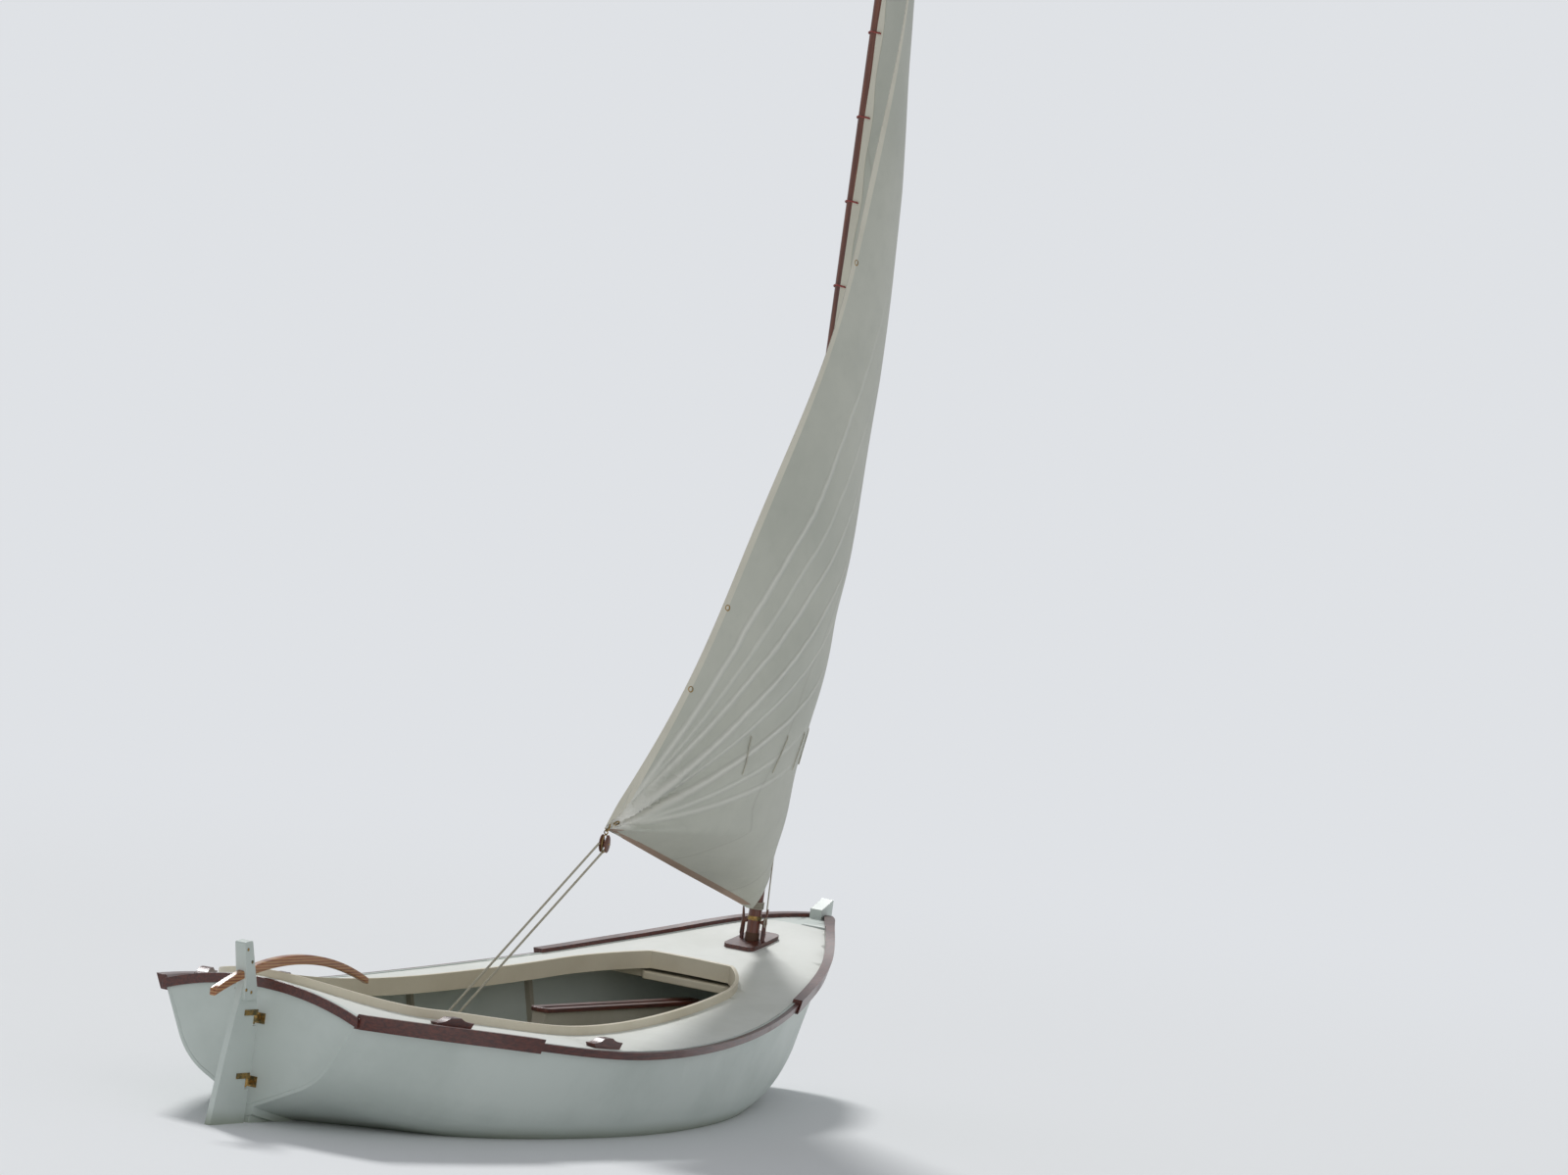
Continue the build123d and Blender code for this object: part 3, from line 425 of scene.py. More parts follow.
# slack waves each have a depth, and their turns up the sail and across it
sailShape = {
    "mastX": 1.577, "tack": 0.784, "clew": 1.210, "head": 5.700,
    "footChord": 2.040, "tackChord": 0.060, "headChord": 0.110, "clewAngle": 11.6, "headAngle": 48.5,
    "luffGap": 0.016, "mastRadius": 0.028, "mastheadRadius": 0.021, "mastTop": 5.950,
    "tackCamber": 0.22, "footRound": 0.34, "footPower": 0.8,
    "camber": ((1.210, 0.163), (2.000, 0.188), (3.100, 0.198), (3.900, 0.190), (4.700, 0.135),
               (5.700, 0.100)),
    "columns": 72, "footRows": 40, "rows": 200, "thick": 0.0016,
    "hoopFirst": 0.140, "hoopPitch": 0.362, "hoops": 13,
    "creases": 19.0, "creaseDeep": 0.024, "creaseReach": 1.0, "creaseStart": 0.12,
    "fineCreases": 27.0, "fineShare": 0.45,
    "luffPull": 0.009, "pullFade": 0.05, "ripple": 0.006, "rippleStart": 0.04, "rippleFade": 0.16,
    "leechCurl": 0.012, "curlFade": 0.06, "curlWaves": 4.1,
    "slack": ((0.004, 2.3, 5.0), (0.003, 5.1, -7.0)), "slackEdge": 0.1,
}


def mastRadius(z):
    share = max(0, (z - sailShape["tack"]) / (sailShape["mastTop"] - sailShape["tack"]))
    return sailShape["mastRadius"] + share * (sailShape["mastheadRadius"] - sailShape["mastRadius"])


def camberAt(z):
    table = sailShape["camber"]
    if z <= table[0][0]:
        share = (z - sailShape["tack"]) / (table[0][0] - sailShape["tack"])
        return sailShape["tackCamber"] + share * (table[0][1] - sailShape["tackCamber"])
    for (low, first), (high, second) in zip(table, table[1:]):
        if z <= high:
            share = (z - low) / (high - low)
            share = share * share * (3 - 2 * share) * 0.5 + share * 0.5
            return first + share * (second - first)
    return table[-1][1]


def chordLine(z):
    # the luff's point, the way aft, the way to leeward, and the chord
    share = (z - sailShape["clew"]) / (sailShape["head"] - sailShape["clew"])
    rise = (z - sailShape["tack"]) / (sailShape["clew"] - sailShape["tack"])
    angle = math.radians(sailShape["clewAngle"] + max(0, share)
                         * (sailShape["headAngle"] - sailShape["clewAngle"]))
    chord = sailShape["footChord"] + share * (sailShape["headChord"] - sailShape["footChord"])
    if rise < 1:
        chord = sailShape["tackChord"] + rise * (sailShape["footChord"] - sailShape["tackChord"])
    aft = Vector((-math.cos(angle), -math.sin(angle), 0))
    leeward = Vector((math.sin(angle), -math.cos(angle), 0))
    luff = Vector((sailShape["mastX"], 0, z)) + aft * (mastRadius(z) + sailShape["luffGap"])
    return luff, aft, leeward, chord


clewLuff, clewAft, _, clewChord = chordLine(sailShape["clew"])
clewPoint = clewLuff + clewAft * clewChord


def roundedPoint(z, t):
    # the sail as a round section at each height, before creases, ripple and slack
    luff, aft, leeward, chord = chordLine(z)
    camber = camberAt(z)
    radius = (0.25 + camber * camber) / (2 * camber)
    bow = math.sqrt(max(0, radius ** 2 - (t - 0.5) ** 2)) - (radius - camber)
    return luff + aft * (t * chord) + leeward * (bow * chord)


def sailPoint(z, t, lift=0.0):
    # t runs from the luff to the leech, and lift is off the cloth's middle, to leeward
    _, aft, leeward, chord = chordLine(z)
    base = roundedPoint(z, t)
    reach = sailShape["footRound"] * max(0, 1 - t) ** sailShape["footPower"]
    if abs(z - sailShape["clew"]) < reach:
        # the foot rolls into the belly, more tightly towards the clew
        share = (z - sailShape["clew"] + reach) / (2 * reach)
        base = (roundedPoint(sailShape["clew"] - reach, t) * (1 - share) ** 2
                + roundedPoint(sailShape["clew"], t) * 2 * share * (1 - share)
                + roundedPoint(sailShape["clew"] + reach, t) * share ** 2)
    fromClew = (base - clewPoint).length
    slope = math.atan2(z - sailShape["clew"], max(1e-4, (base - clewPoint).dot(-clewAft)))
    fan = (math.sin(slope * sailShape["creases"] + 0.9)
           + sailShape["fineShare"] * math.sin(slope * sailShape["fineCreases"] + 2.0))
    fade = min(1, fromClew / sailShape["creaseStart"]) * math.exp(-fromClew / sailShape["creaseReach"])
    crease = sailShape["creaseDeep"] * fan * fade
    phase = 2 * math.pi * (z - sailShape["tack"] - sailShape["hoopFirst"]) / sailShape["hoopPitch"]
    fromLuff = t * chord
    pulled = sailShape["luffPull"] * (1 - math.cos(phase)) * math.exp(-fromLuff / sailShape["pullFade"])
    ripple = (sailShape["ripple"] * math.cos(phase) * math.exp(-fromLuff / sailShape["rippleFade"])
              * min(1, fromLuff / sailShape["rippleStart"]))
    fromLeech = (1 - t) * chord
    curl = (sailShape["leechCurl"] * math.exp(-fromLeech / sailShape["curlFade"])
            * math.sin(z * sailShape["curlWaves"] + 0.6) * min(1, chord))
    slack = sum(deep * math.sin(z * up + t * across) for deep, up, across in sailShape["slack"])
    edge = min(1, fromLuff / sailShape["slackEdge"], fromLeech / sailShape["slackEdge"])
    return base + aft * min(pulled, 0.3 * chord) + leeward * (crease + ripple + curl + slack * edge + lift)


def wholeChord(z):
    return 0, 1


def sailPatch(name, zs, columns, span, thick, finishName="sailcloth"):
    # a grid laid on the sail between the places that span gives, its map in metres of cloth
    deselectAll()
    bpy.ops.mesh.primitive_grid_add(x_subdivisions=columns - 1, y_subdivisions=len(zs) - 1, size=1)
    patch = bpy.context.object
    uv = patch.data.uv_layers.active or patch.data.uv_layers.new(name="UVMap")
    cloth = {}
    for row, z in enumerate(zs):
        chord = chordLine(z)[3]
        for column, t in enumerate(spread(*span(z), columns)):
            index = row * columns + column
            patch.data.vertices[index].co = sailPoint(z, t)
            cloth[index] = (sailShape["footChord"] - t * chord, z)
    for loop in patch.data.loops:
        uv.data[loop.index].uv = cloth[loop.vertex_index]
    shape(patch, "SOLIDIFY", thickness=thick, offset=0)
    return finishPiece(patch, name, "rig", "sailcloth", finishName)


footZs = spread(sailShape["tack"], sailShape["clew"], sailShape["footRows"])
bodyZs = spread(sailShape["clew"], sailShape["head"], sailShape["rows"])
sail = sailPatch("mainsail", footZs + bodyZs[1:], sailShape["columns"], wholeChord, sailShape["thick"])

tapes = {"leech": 0.022, "foot": 0.050, "luff": 0.036, "mostShare": 0.9, "thick": 0.0042, "columns": 5}


def edgeTape(name, zs, wide, atLuff=False, finishName="tape"):
    # wide is measured along the chord
    def span(z):
        share = min(tapes["mostShare"], wide / chordLine(z)[3])
        return (0, share) if atLuff else (1 - share, 1)
    return sailPatch(name, zs, tapes["columns"], span, tapes["thick"], finishName)


footTape = edgeTape("footTape", footZs[2:], tapes["foot"], finishName="footTape")
leechTape = edgeTape("leechTape", bodyZs, tapes["leech"])
luffTape = edgeTape("luffTape", footZs[4:] + bodyZs[1:], tapes["luff"], atLuff=True)
print("sail and its tapes laid")

corners = {"clewReach": 0.34, "clewDrop": 0.070, "clewRise": 0.335, "clewRows": 64, "clewColumns": 30,
           "clewThick": 0.0040, "clewLast": 0.998, "headReach": 0.30, "tackReach": 0.26, "tackLift": 0.002,
           "tackWide": 0.24, "rows": 12, "columns": 9, "thick": 0.0036}


def clewSpan(z):
    # a round of cloth about the clew
    back = math.sqrt(corners["clewReach"] ** 2 - (z - sailShape["clew"]) ** 2)
    return min(corners["clewLast"], (sailShape["footChord"] - back) / chordLine(z)[3]), 1.0


def tackSpan(z):
    return 0.0, min(1.0, corners["tackWide"] / chordLine(z)[3])


clewZs = spread(sailShape["clew"] - corners["clewDrop"], sailShape["clew"] + corners["clewRise"],
                corners["clewRows"])
headZs = spread(sailShape["head"] - corners["headReach"], sailShape["head"], corners["rows"])
tackZs = spread(sailShape["tack"] + corners["tackLift"], sailShape["tack"] + corners["tackReach"],
                corners["rows"])
clewPatch = sailPatch("clewPatch", clewZs, corners["clewColumns"], clewSpan, corners["clewThick"])
headPatch = sailPatch("headPatch", headZs, corners["columns"], wholeChord, corners["thick"])
tackPatch = sailPatch("tackPatch", tackZs, corners["columns"], tackSpan, corners["thick"])


# Rings let into the cloth, one for each turn of the lacing and a few down the leech

clothRings = {"inset": 0.020, "luff": (0.009, 0.0024), "leech": (0.011, 0.003),
              "leechHeights": (1.235, 1.80, 2.14, 3.59, 5.20)}


def ringAt(place, normal, outer, tube):
    deselectAll()
    turn = Vector(normal).to_track_quat("Z", "Y").to_euler()
    bpy.ops.mesh.primitive_torus_add(location=place, rotation=turn, major_radius=outer, minor_radius=tube,
                                     major_segments=20, minor_segments=8)
    ring = bpy.context.object
    settle(ring)
    return ring


def clothNormal(z, t):
    step = 0.002
    along = sailPoint(z, min(1, t + step)) - sailPoint(z, max(0, t - step))
    up = sailPoint(z + step, t) - sailPoint(z - step, t)
    return along.cross(up).normalized()


hoopHeights = [sailShape["tack"] + sailShape["hoopFirst"] + sailShape["hoopPitch"] * number
               for number in range(sailShape["hoops"])]
rings = []
for z in hoopHeights:
    t = clothRings["inset"] / chordLine(z)[3]
    rings.append(ringAt(sailPoint(z, t), clothNormal(z, t), *clothRings["luff"]))
for z in clothRings["leechHeights"]:
    t = 1 - clothRings["inset"] / chordLine(z)[3]
    rings.append(ringAt(sailPoint(z, t), clothNormal(z, t), *clothRings["leech"]))
ringsInCloth = finishPiece(joinAll(rings), "clothRings", "rig", "bronze")


# Lacing: each turn goes round the mast and through its ring

def ropeLoop(name, points, radius, closed, steps=6):
    # a rope on a smooth line through the points
    deselectAll()
    line = bpy.data.curves.new(name, "CURVE")
    line.dimensions = "3D"
    line.bevel_depth = radius
    line.bevel_resolution = 2
    line.resolution_u = steps
    line.use_fill_caps = True
    spline = line.splines.new("NURBS")
    spline.points.add(len(points) - 1)
    for point, place in zip(spline.points, points):
        point.co = (*place, 1)
    spline.order_u = 3
    spline.use_cyclic_u = closed
    spline.use_endpoint_u = not closed
    rope = bpy.data.objects.new(name, line)
    bpy.context.scene.collection.objects.link(rope)
    pick(rope)
    bpy.ops.object.convert(target="MESH")
    rope = bpy.context.object
    if not rope.data.uv_layers:
        rope.data.uv_layers.new(name="UVMap")
    return rope


lacingTurns = {"rope": 0.0038, "points": 14, "slack": 0.0045, "rise": 0.016, "gapAngle": 52, "side": 0.008,
               "drop": 0.002, "back": 0.004}
gap = math.radians(lacingTurns["gapAngle"])
turns = []
for z in hoopHeights:
    luff, aft, leeward, chord = chordLine(z)
    hole = sailPoint(z, clothRings["inset"] / chord)
    centre = Vector((sailShape["mastX"], 0, z))
    around = mastRadius(z) + lacingTurns["slack"]
    aside = leeward * lacingTurns["side"] - Vector((0, 0, lacingTurns["drop"]))
    loop = []
    for angle in spread(gap, 2 * math.pi - gap, lacingTurns["points"]):
        out = aft * math.cos(angle) + leeward * math.sin(angle)
        lean = lacingTurns["rise"] * math.cos(angle) * 0.5
        loop.append(centre + out * around + Vector((0, 0, lean)))
    loop += [hole - aside, hole + aft * lacingTurns["back"], hole + aside]
    turns.append(ropeLoop("lacingTurn", loop, lacingTurns["rope"], True))
lacing = finishPiece(joinAll(turns), "luffLacing", "rig", "lacing")
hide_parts("lacing_hoops")
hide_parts("sail")
sailArea = sum(face.area for face in sail.data.polygons) / 2
print("sail area", round(sailArea, 3))


# Reef ties: short cords through the cloth, hanging down both sides

reefTies = {"z": 1.62, "ts": (0.10, 0.26, 0.42, 0.58, 0.74), "long": 0.16, "radius": 0.003, "points": 5,
            "sway": 0.02, "clear": 0.006, "root": 0.002}
ties = []
for t in reefTies["ts"]:
    for side in (-1, 1):
        sway = random.uniform(-reefTies["sway"], reefTies["sway"])
        hanging = [sailPoint(reefTies["z"], t, -side * reefTies["root"])]
        for share in spread(0, 1, reefTies["points"]):
            point = sailPoint(reefTies["z"] - reefTies["long"] * share, t, side * reefTies["clear"])
            hanging.append(point + Vector((sway * share, 0, 0)))
        ties.append(ropeLoop("tie", hanging, reefTies["radius"], False, 3))
finishPiece(joinAll(ties), "reefTies", "rig", "lacing", "tie")


# Mast: a round spar with a leather and a band below the sail, and a band near the head

mastLook = {"sides": 40, "rings": (0.062, 0.30, 0.60, 0.784, 1.8, 3.2, 4.6, 5.60, 5.90, 5.938, 5.950),
            "crown": 0.010, "sleeveSides": 36, "sleeveEdge": 0.001}


def roundSpar():
    deselectAll()
    rings = mastLook["rings"]
    bpy.ops.mesh.primitive_circle_add(vertices=mastLook["sides"], radius=mastRadius(rings[0]),
                                      location=(sailShape["mastX"], 0, rings[0]), fill_type="NGON")
    spar = bpy.context.object
    settle(spar)
    bpy.ops.object.mode_set(mode="EDIT")
    bpy.ops.mesh.select_all(action="SELECT")
    for low, high in zip(rings, rings[1:]):
        wide = mastRadius(high) - (mastLook["crown"] if high == rings[-1] else 0)
        bpy.ops.mesh.extrude_region_move(TRANSFORM_OT_translate={"value": (0, 0, high - low)})
        grow = wide / mastRadius(low)
        bpy.ops.transform.resize(value=(grow, grow, 1), center_override=(sailShape["mastX"], 0, high))
    bpy.ops.mesh.select_all(action="SELECT")
    bpy.ops.mesh.normals_make_consistent(inside=False)
    bpy.ops.object.mode_set(mode="OBJECT")
    return spar


spar = finishPiece(roundSpar(), "mastSpar", "rig", "spar_varnish", smoothAngle=40)
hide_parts("mast")


def sleeve(name, z, tall, clear, slotName, finishName):
    # a short tube round the mast
    deselectAll()
    bpy.ops.mesh.primitive_cylinder_add(vertices=mastLook["sleeveSides"], radius=mastRadius(z) + clear,
                                        depth=tall, location=(sailShape["mastX"], 0, z))
    tube = bpy.context.object
    shape(tube, "BEVEL", width=mastLook["sleeveEdge"], segments=2, limit_method="ANGLE")
    return finishPiece(tube, name, "rig", slotName, finishName, smoothAngle=40)


sleeve("mastLeather", 0.635, 0.075, 0.0022, "spar_varnish", "leather")
sleeve("mastBandLow", 0.735, 0.018, 0.0025, "bronze", "bronze")
sleeve("mastheadBand", 5.80, 0.024, 0.002, "bronze", "bronze")

cleatLook = {"foot": (0.018, 0.014, 0.020), "neck": 0.012, "neckFrom": 0.011, "long": 0.11,
             "hornRise": (0.002, 0.005), "tip": (1, 0.6, 0.5), "z": 0.72, "out": 0.036, "back": 0.004,
             "turned": 0.1}


def selectFaces(piece, chosen):
    # edit mode, with only the faces that the test picks
    bpy.ops.object.mode_set(mode="EDIT")
    bpy.ops.mesh.select_all(action="DESELECT")
    bpy.ops.object.mode_set(mode="OBJECT")
    for face in piece.data.polygons:
        face.select = chosen(face)
    bpy.ops.object.mode_set(mode="EDIT")


def hornCleat(name, side):
    # a foot drawn up to a neck, and two horns drawn out of the neck
    deselectAll()
    bpy.ops.mesh.primitive_cube_add(size=1, location=(0, 0, 0), scale=cleatLook["foot"])
    cleat = bpy.context.object
    settle(cleat)
    selectFaces(cleat, lambda face: face.normal.z > 0.9)
    bpy.ops.mesh.extrude_region_move(TRANSFORM_OT_translate={"value": (0, 0, cleatLook["neck"])})
    for end in (-1, 1):
        selectFaces(cleat, lambda face: face.normal.x * end > 0.9 and face.center.z > cleatLook["neckFrom"])
        for rise in cleatLook["hornRise"]:
            bpy.ops.mesh.extrude_region_move(
                TRANSFORM_OT_translate={"value": (end * cleatLook["long"] / 4, 0, rise)})
        bpy.ops.transform.resize(value=cleatLook["tip"])
    bpy.ops.object.mode_set(mode="OBJECT")
    shape(cleat, "SUBSURF", levels=2, render_levels=2)
    outward = Vector((-side * cleatLook["turned"], side, 0)).normalized()
    lengthwise = Vector((0, 0, 1))
    turn = Matrix((lengthwise, outward.cross(lengthwise), outward)).transposed().to_4x4()
    turn.translation = (sailShape["mastX"] - side * cleatLook["back"], side * cleatLook["out"],
                        cleatLook["z"])
    cleat.matrix_world = turn
    return finishPiece(cleat, name, "rig", "block_wood")


hornCleat("halyardCleat", -1)
hornCleat("downhaulCleat", 1)


# Halyard, made fast on its cleat, and the lashing at the tack

halyard = {"radius": 0.003, "turnPoints": 9, "turn": 1.57, "turnWide": 0.012, "turnTall": 0.030, "y": -0.055,
           "weave": 0.003,
           "fall": ((0.022, -0.027, 5.78), (0.026, -0.027, 3.5), (0.027, -0.030, 1.4), (0.018, -0.044, 0.80),
                    (0.010, -0.052, 0.735))}
run = [(sailShape["mastX"] + x, y, z) for x, y, z in halyard["fall"]]
for step in range(halyard["turnPoints"]):
    run.append((sailShape["mastX"] + halyard["turnWide"] * math.cos(step * halyard["turn"]),
                halyard["y"] - halyard["weave"] * (step % 2),
                cleatLook["z"] + halyard["turnTall"] * math.sin(step * halyard["turn"])))
finishPiece(ropeLoop("halyard", run, halyard["radius"], False), "halyard", "rig", "lacing", "rope")

lashing = {"turns": 4, "pitch": 0.008, "start": -0.004, "points": 12, "clear": 0.004, "reach": 0.026,
           "towards": 190, "rise": 0.002, "radius": 0.0034}
tackLashing = []
for turn in range(lashing["turns"]):
    z = sailShape["tack"] + lashing["start"] + lashing["pitch"] * turn
    loop = []
    for step in range(lashing["points"]):
        angle = 2 * math.pi * step / lashing["points"]
        pull = max(0, math.cos(angle - math.radians(lashing["towards"]))) ** 3
        reach = mastRadius(z) + lashing["clear"] + lashing["reach"] * pull
        loop.append((sailShape["mastX"] + reach * math.cos(angle), reach * math.sin(angle),
                     z + lashing["rise"] * math.sin(angle)))
    tackLashing.append(ropeLoop("lash", loop, lashing["radius"], True, 4))
finishPiece(joinAll(tackLashing), "tackLashing", "rig", "lacing", "rope")
print("mast, lacing and lines made")


# Sheet: a block with two sheaves at the clew, one on the thwart, and the parts between

sheet = {"clewTop": 1.186, "thwart": (-0.930, 0, 0.244), "long": 0.074, "wide": 0.040,
         "cheekThick": 0.0136, "cheekApart": 0.0135, "wheelRadius": 0.016, "wheelThick": 0.006,
         "wheelApart": 0.0065, "wheelEdge": 0.0015, "strapWide": 0.0205, "strapTall": 0.0375,
         "strapPoints": 14, "strapRadius": 0.0026, "eyeOut": 0.046, "eye": (0.008, 0.0026), "pinHalf": 0.021,
         "pinRadius": 0.004, "rope": 0.0050, "apart": (0.018, -0.014), "lead": 0.25}


def pulleyBlock(name, low, body, eyeEnd):
    # two rounded cheeks with two sheaves between, a strap round them, and an eye at the top or the foot
    x, y, foot = low
    middle = foot + sheet["long"] / 2
    parts = []
    for side in (-1, 1):
        deselectAll()
        bpy.ops.mesh.primitive_uv_sphere_add(segments=24, ring_count=14, radius=1,
                                             location=(x, y + side * sheet["cheekApart"], middle))
        cheek = bpy.context.object
        cheek.scale = (sheet["wide"] / 2, sheet["cheekThick"] / 2, sheet["long"] / 2)
        settle(cheek)
        parts.append(cheek)
    for side in (-1, 1):
        deselectAll()
        bpy.ops.mesh.primitive_cylinder_add(vertices=28, radius=sheet["wheelRadius"],
                                            depth=sheet["wheelThick"], rotation=(math.pi / 2, 0, 0),
                                            location=(x, y + side * sheet["wheelApart"], middle))
        wheel = bpy.context.object
        settle(wheel)
        shape(wheel, "BEVEL", width=sheet["wheelEdge"], segments=2)
        parts.append(wheel)
    wood = finishPiece(joinAll(parts), name, body, "block_wood", smoothAngle=50)
    strap = []
    for step in range(sheet["strapPoints"]):
        angle = 2 * math.pi * step / sheet["strapPoints"]
        strap.append((x + sheet["strapWide"] * math.cos(angle), y,
                      middle + sheet["strapTall"] * math.sin(angle)))
    band = ropeLoop(name + "Strap", strap, sheet["strapRadius"], True, 4)
    eye = ringAt((x, y, middle + eyeEnd * sheet["eyeOut"]), (1, 0, 0), *sheet["eye"])
    pinLine = [(x, y + share * sheet["pinHalf"], middle) for share in (-1, 0, 1)]
    pin = ropeLoop("pin", pinLine, sheet["pinRadius"], False, 3)
    finishPiece(joinAll([band, eye, pin]), name + "Metal", body, "bronze")
    return wood


clewLow = (clewPoint.x, clewPoint.y, sheet["clewTop"] - sheet["long"])
clewBlock = pulleyBlock("clewBlock", clewLow, "rig", 1)
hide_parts("clew_block")
thwartBlock = pulleyBlock("thwartBlock", sheet["thwart"], "hull", -1)
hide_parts("thwart_block")

shackle = {"radius": 0.0036, "points": ((0, 0, 1.196), (0.010, -0.008, 1.212), (0.020, -0.002, 1.236),
                                        (0.012, 0.010, 1.214))}
bow = [(clewPoint.x + x, clewPoint.y + y, z) for x, y, z in shackle["points"]]
finishPiece(ropeLoop("clewShackle", bow, shackle["radius"], True, 5), "clewShackle", "rig", "bronze")

ropeParts = []
upper = Vector((clewLow[0], clewLow[1], clewLow[2] + sheet["long"] / 2))
lower = Vector((sheet["thwart"][0], sheet["thwart"][1], sheet["thwart"][2] + sheet["long"] / 2))
lead = (upper - lower).normalized() * sheet["lead"]
for side in (-1, 1):
    across = Vector((side * sheet["apart"][0], side * sheet["apart"][1], 0))
    ends = [lower + across, lower + across + lead, (lower + upper) / 2 + across, upper + across - lead,
            upper + across]
    ropeParts.append(ropeLoop("part", ends, sheet["rope"], False, 8))
sheetParts = joinAll(ropeParts)
sheetParts.name = "sheetParts"
settle(sheetParts)
bpy.ops.object.shade_smooth()
sheetParts.data.materials.clear()
sheetParts.data.materials.append(finishes["rope"])
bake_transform(sheetParts)
print("sheet rove")


# Bolts: a domed head, copied to each place and joined

boltLook = {"dome": 0.45}
pairedBolts = {
    "cheekBolts": {"radius": 0.007, "y": 0.0245,
                   "places": ((-2.315, 0.52), (-2.335, 0.64), (-2.375, 0.69), (-2.352, 0.53))},
    "strapBolts": {"radius": 0.005, "y": 0.0165,
                   "places": ((-2.265, 0.188), (-2.300, 0.188), (-2.265, 0.438), (-2.300, 0.438))},
}
plateBolts = {"radius": 0.004, "x": -2.2045, "y": 0.022, "zs": (0.147, 0.171, 0.397, 0.421)}


def studs(name, places, radius, body):
    heads = []
    for place, normal in places:
        deselectAll()
        turn = Vector(normal).to_track_quat("Z", "Y").to_euler()
        bpy.ops.mesh.primitive_uv_sphere_add(segments=10, ring_count=6, radius=radius, location=place,
                                             rotation=turn)
        head = bpy.context.object
        head.scale = (1, 1, boltLook["dome"])
        settle(head)
        heads.append(head)
    return finishPiece(joinAll(heads), name, body, "bronze")


for name, row in pairedBolts.items():
    studs(name, [((x, side * row["y"], z), (0, side, 0)) for side in (-1, 1) for x, z in row["places"]],
          row["radius"], "rudder")
studs("plateBolts", [((plateBolts["x"], side * plateBolts["y"], z), (-1, 0, 0))
                     for side in (-1, 1) for z in plateBolts["zs"]], plateBolts["radius"], "hull")
print("fastenings set")


# Floor at the waterline, with the boat let into it, fading into a pale backdrop

stageSet = {"floorRadius": 150.0, "floorSides": 96, "colour": (0.80, 0.81, 0.82, 1), "near": 4.5, "far": 13.0,
            "pale": (0.74, 0.76, 0.79, 1),
            "hullColumns": 60, "hullAft": -2.19, "hullFore": 2.10, "rayFrom": 3, "thinEnd": 0.04,
            "tuck": 0.006}


def waterlineEdge():
    # half-breadths at the waterline, measured on the port skin by rays from outside
    points = []
    for x in spread(stageSet["hullAft"], stageSet["hullFore"], stageSet["hullColumns"] + 1):
        hit, place = skins["port"].ray_cast(Vector((x, stageSet["rayFrom"], 0)), Vector((0, -1, 0)))[:2]
        if hit and place.y > stageSet["thinEnd"]:
            points.append((x, place.y - stageSet["tuck"]))
    return points


def paleFinish():
    # the floor takes the boat's shadow near by, and turns into the backdrop's colour far off
    pale = Finish("floorPale", Roughness=0.9, Base_Color=stageSet["colour"])
    away = pale.node("ShaderNodeVectorMath", {"operation": "LENGTH"}, {0: pale.place()}, "Value")
    glow = pale.node("ShaderNodeEmission", {}, {"Color": stageSet["pale"]})
    far = pale.limit(away, stageSet["near"], stageSet["far"])
    pale.feed(pale.output.inputs[0], pale.node("ShaderNodeMixShader", {}, {0: far, 1: pale.lit, 2: glow}))
    return pale.material


def layFloor():
    edge = waterlineEdge()
    print("waterline from", round(edge[0][0], 3), "to", round(edge[-1][0], 3))
    outline = edge + [(x, -y) for x, y in reversed(edge)]
    deselectAll()
    bpy.ops.mesh.primitive_circle_add(vertices=stageSet["floorSides"], radius=stageSet["floorRadius"],
                                      fill_type="NOTHING", location=(0, 0, 0))
    floor = bpy.context.object
    deselectAll()
    bpy.ops.mesh.primitive_circle_add(vertices=len(outline), radius=1, fill_type="NOTHING")
    hole = bpy.context.object
    for vertex, (x, y) in zip(hole.data.vertices, outline):
        vertex.co = (x, y, 0)
    joinAll([floor, hole])
    bpy.ops.object.mode_set(mode="EDIT")
    bpy.ops.mesh.select_all(action="SELECT")
    bpy.ops.mesh.fill(use_beauty=True)
    bpy.ops.object.mode_set(mode="OBJECT")
    floor.name = "floor"
    floor.data.materials.append(paleFinish())


layFloor()


# Light and camera

lights = {"key": 1.9, "keyAngle": 12, "keyFrom": (0.55, 0.62, 0.95),
          "fill": 0.3, "fillAngle": 60, "fillFrom": (-0.9, -0.75, 0.45),
          "sky": 0.42, "skyColour": (0.93, 0.96, 1.0, 1), "backdrop": 1.0}


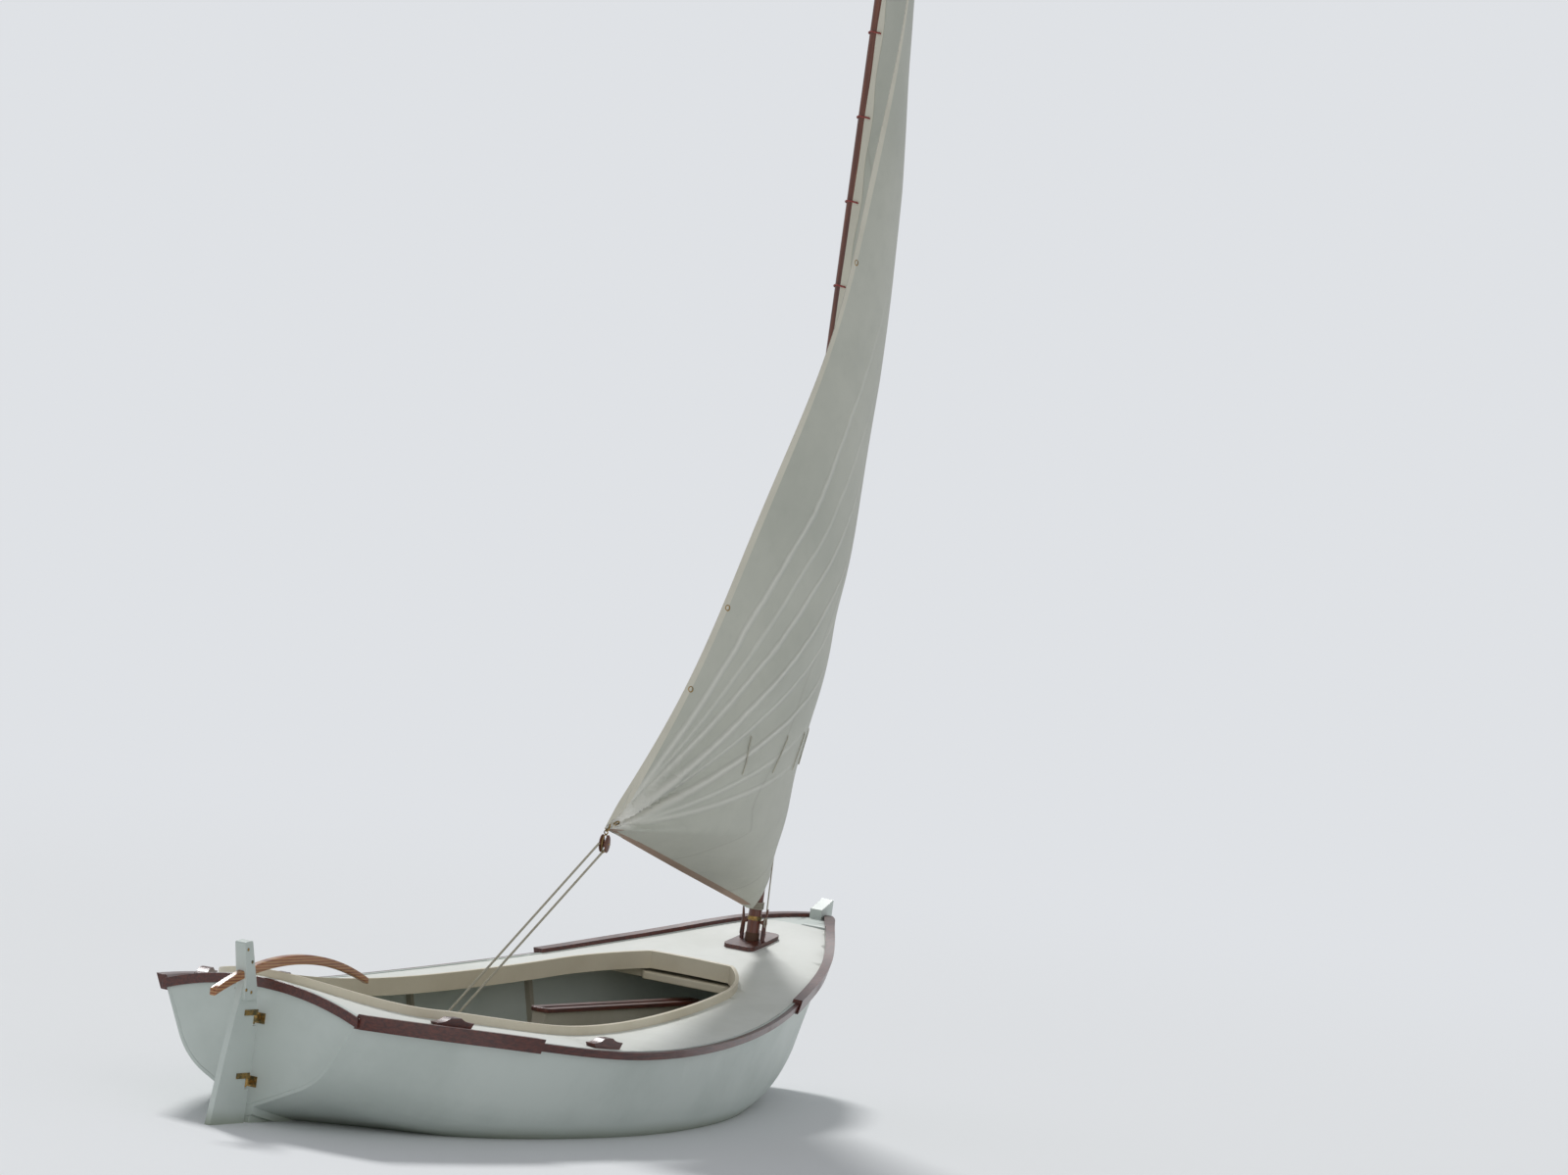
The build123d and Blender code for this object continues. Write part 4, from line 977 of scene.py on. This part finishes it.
def sunLamp(name):
    lamp = bpy.data.lights.new(name, "SUN")
    lamp.energy = lights[name]
    lamp.angle = math.radians(lights[name + "Angle"])
    holder = bpy.data.objects.new(name, lamp)
    holder.rotation_euler = Vector(lights[name + "From"]).to_track_quat("Z", "Y").to_euler()
    bpy.context.scene.collection.objects.link(holder)


sunLamp("key")
sunLamp("fill")

world = bpy.data.worlds.new("studio")
bpy.context.scene.world = world
world.use_nodes = True
sky = Wiring(world.node_tree)
seenDirectly = sky.node("ShaderNodeLightPath", output="Is Camera Ray")
skyLight = sky.node("ShaderNodeBackground", {}, {0: lights["skyColour"], 1: lights["sky"]})
backdrop = sky.node("ShaderNodeBackground", {}, {0: stageSet["pale"], 1: lights["backdrop"]})
allAround = sky.node("ShaderNodeMixShader", {}, {0: seenDirectly, 1: skyLight, 2: backdrop})
sky.feed(sky.tree.nodes.new("ShaderNodeOutputWorld").inputs[0], allAround)

view = {"azimuth": -60.36, "elevation": 3.49, "roll": 7.76, "distance": 35.5, "pixelsPerMetre": 247.8,
        "acrossAim": 0.9414, "upAim": 1.6219, "aimHeight": 0.5, "frameWidth": 1600, "sensor": 36.0,
        "clipEnd": 400}


def placeCamera():
    azimuth, elevation, roll = (math.radians(view[key]) for key in ("azimuth", "elevation", "roll"))
    back = Vector((math.sin(azimuth) * math.cos(elevation), -math.cos(azimuth) * math.cos(elevation),
                   math.sin(elevation)))
    level = Vector((math.cos(azimuth), math.sin(azimuth), 0))
    upright = back.cross(level)
    right = level * math.cos(roll) + upright * math.sin(roll)
    up = upright * math.cos(roll) - level * math.sin(roll)
    aim = right * view["acrossAim"] + up * view["upAim"] + Vector((0, 0, view["aimHeight"]))
    lens = bpy.data.cameras.new("camera")
    lens.sensor_width = view["sensor"]
    lens.lens = view["pixelsPerMetre"] * view["distance"] / view["frameWidth"] * view["sensor"]
    lens.clip_end = view["clipEnd"]
    holder = bpy.data.objects.new("camera", lens)
    turn = Matrix((right, up, back)).transposed().to_4x4()
    turn.translation = aim + back * view["distance"]
    holder.matrix_world = turn
    bpy.context.scene.collection.objects.link(holder)
    bpy.context.scene.camera = holder


placeCamera()
bpy.context.scene.view_settings.view_transform = "Standard"
print("stage, light and camera set")
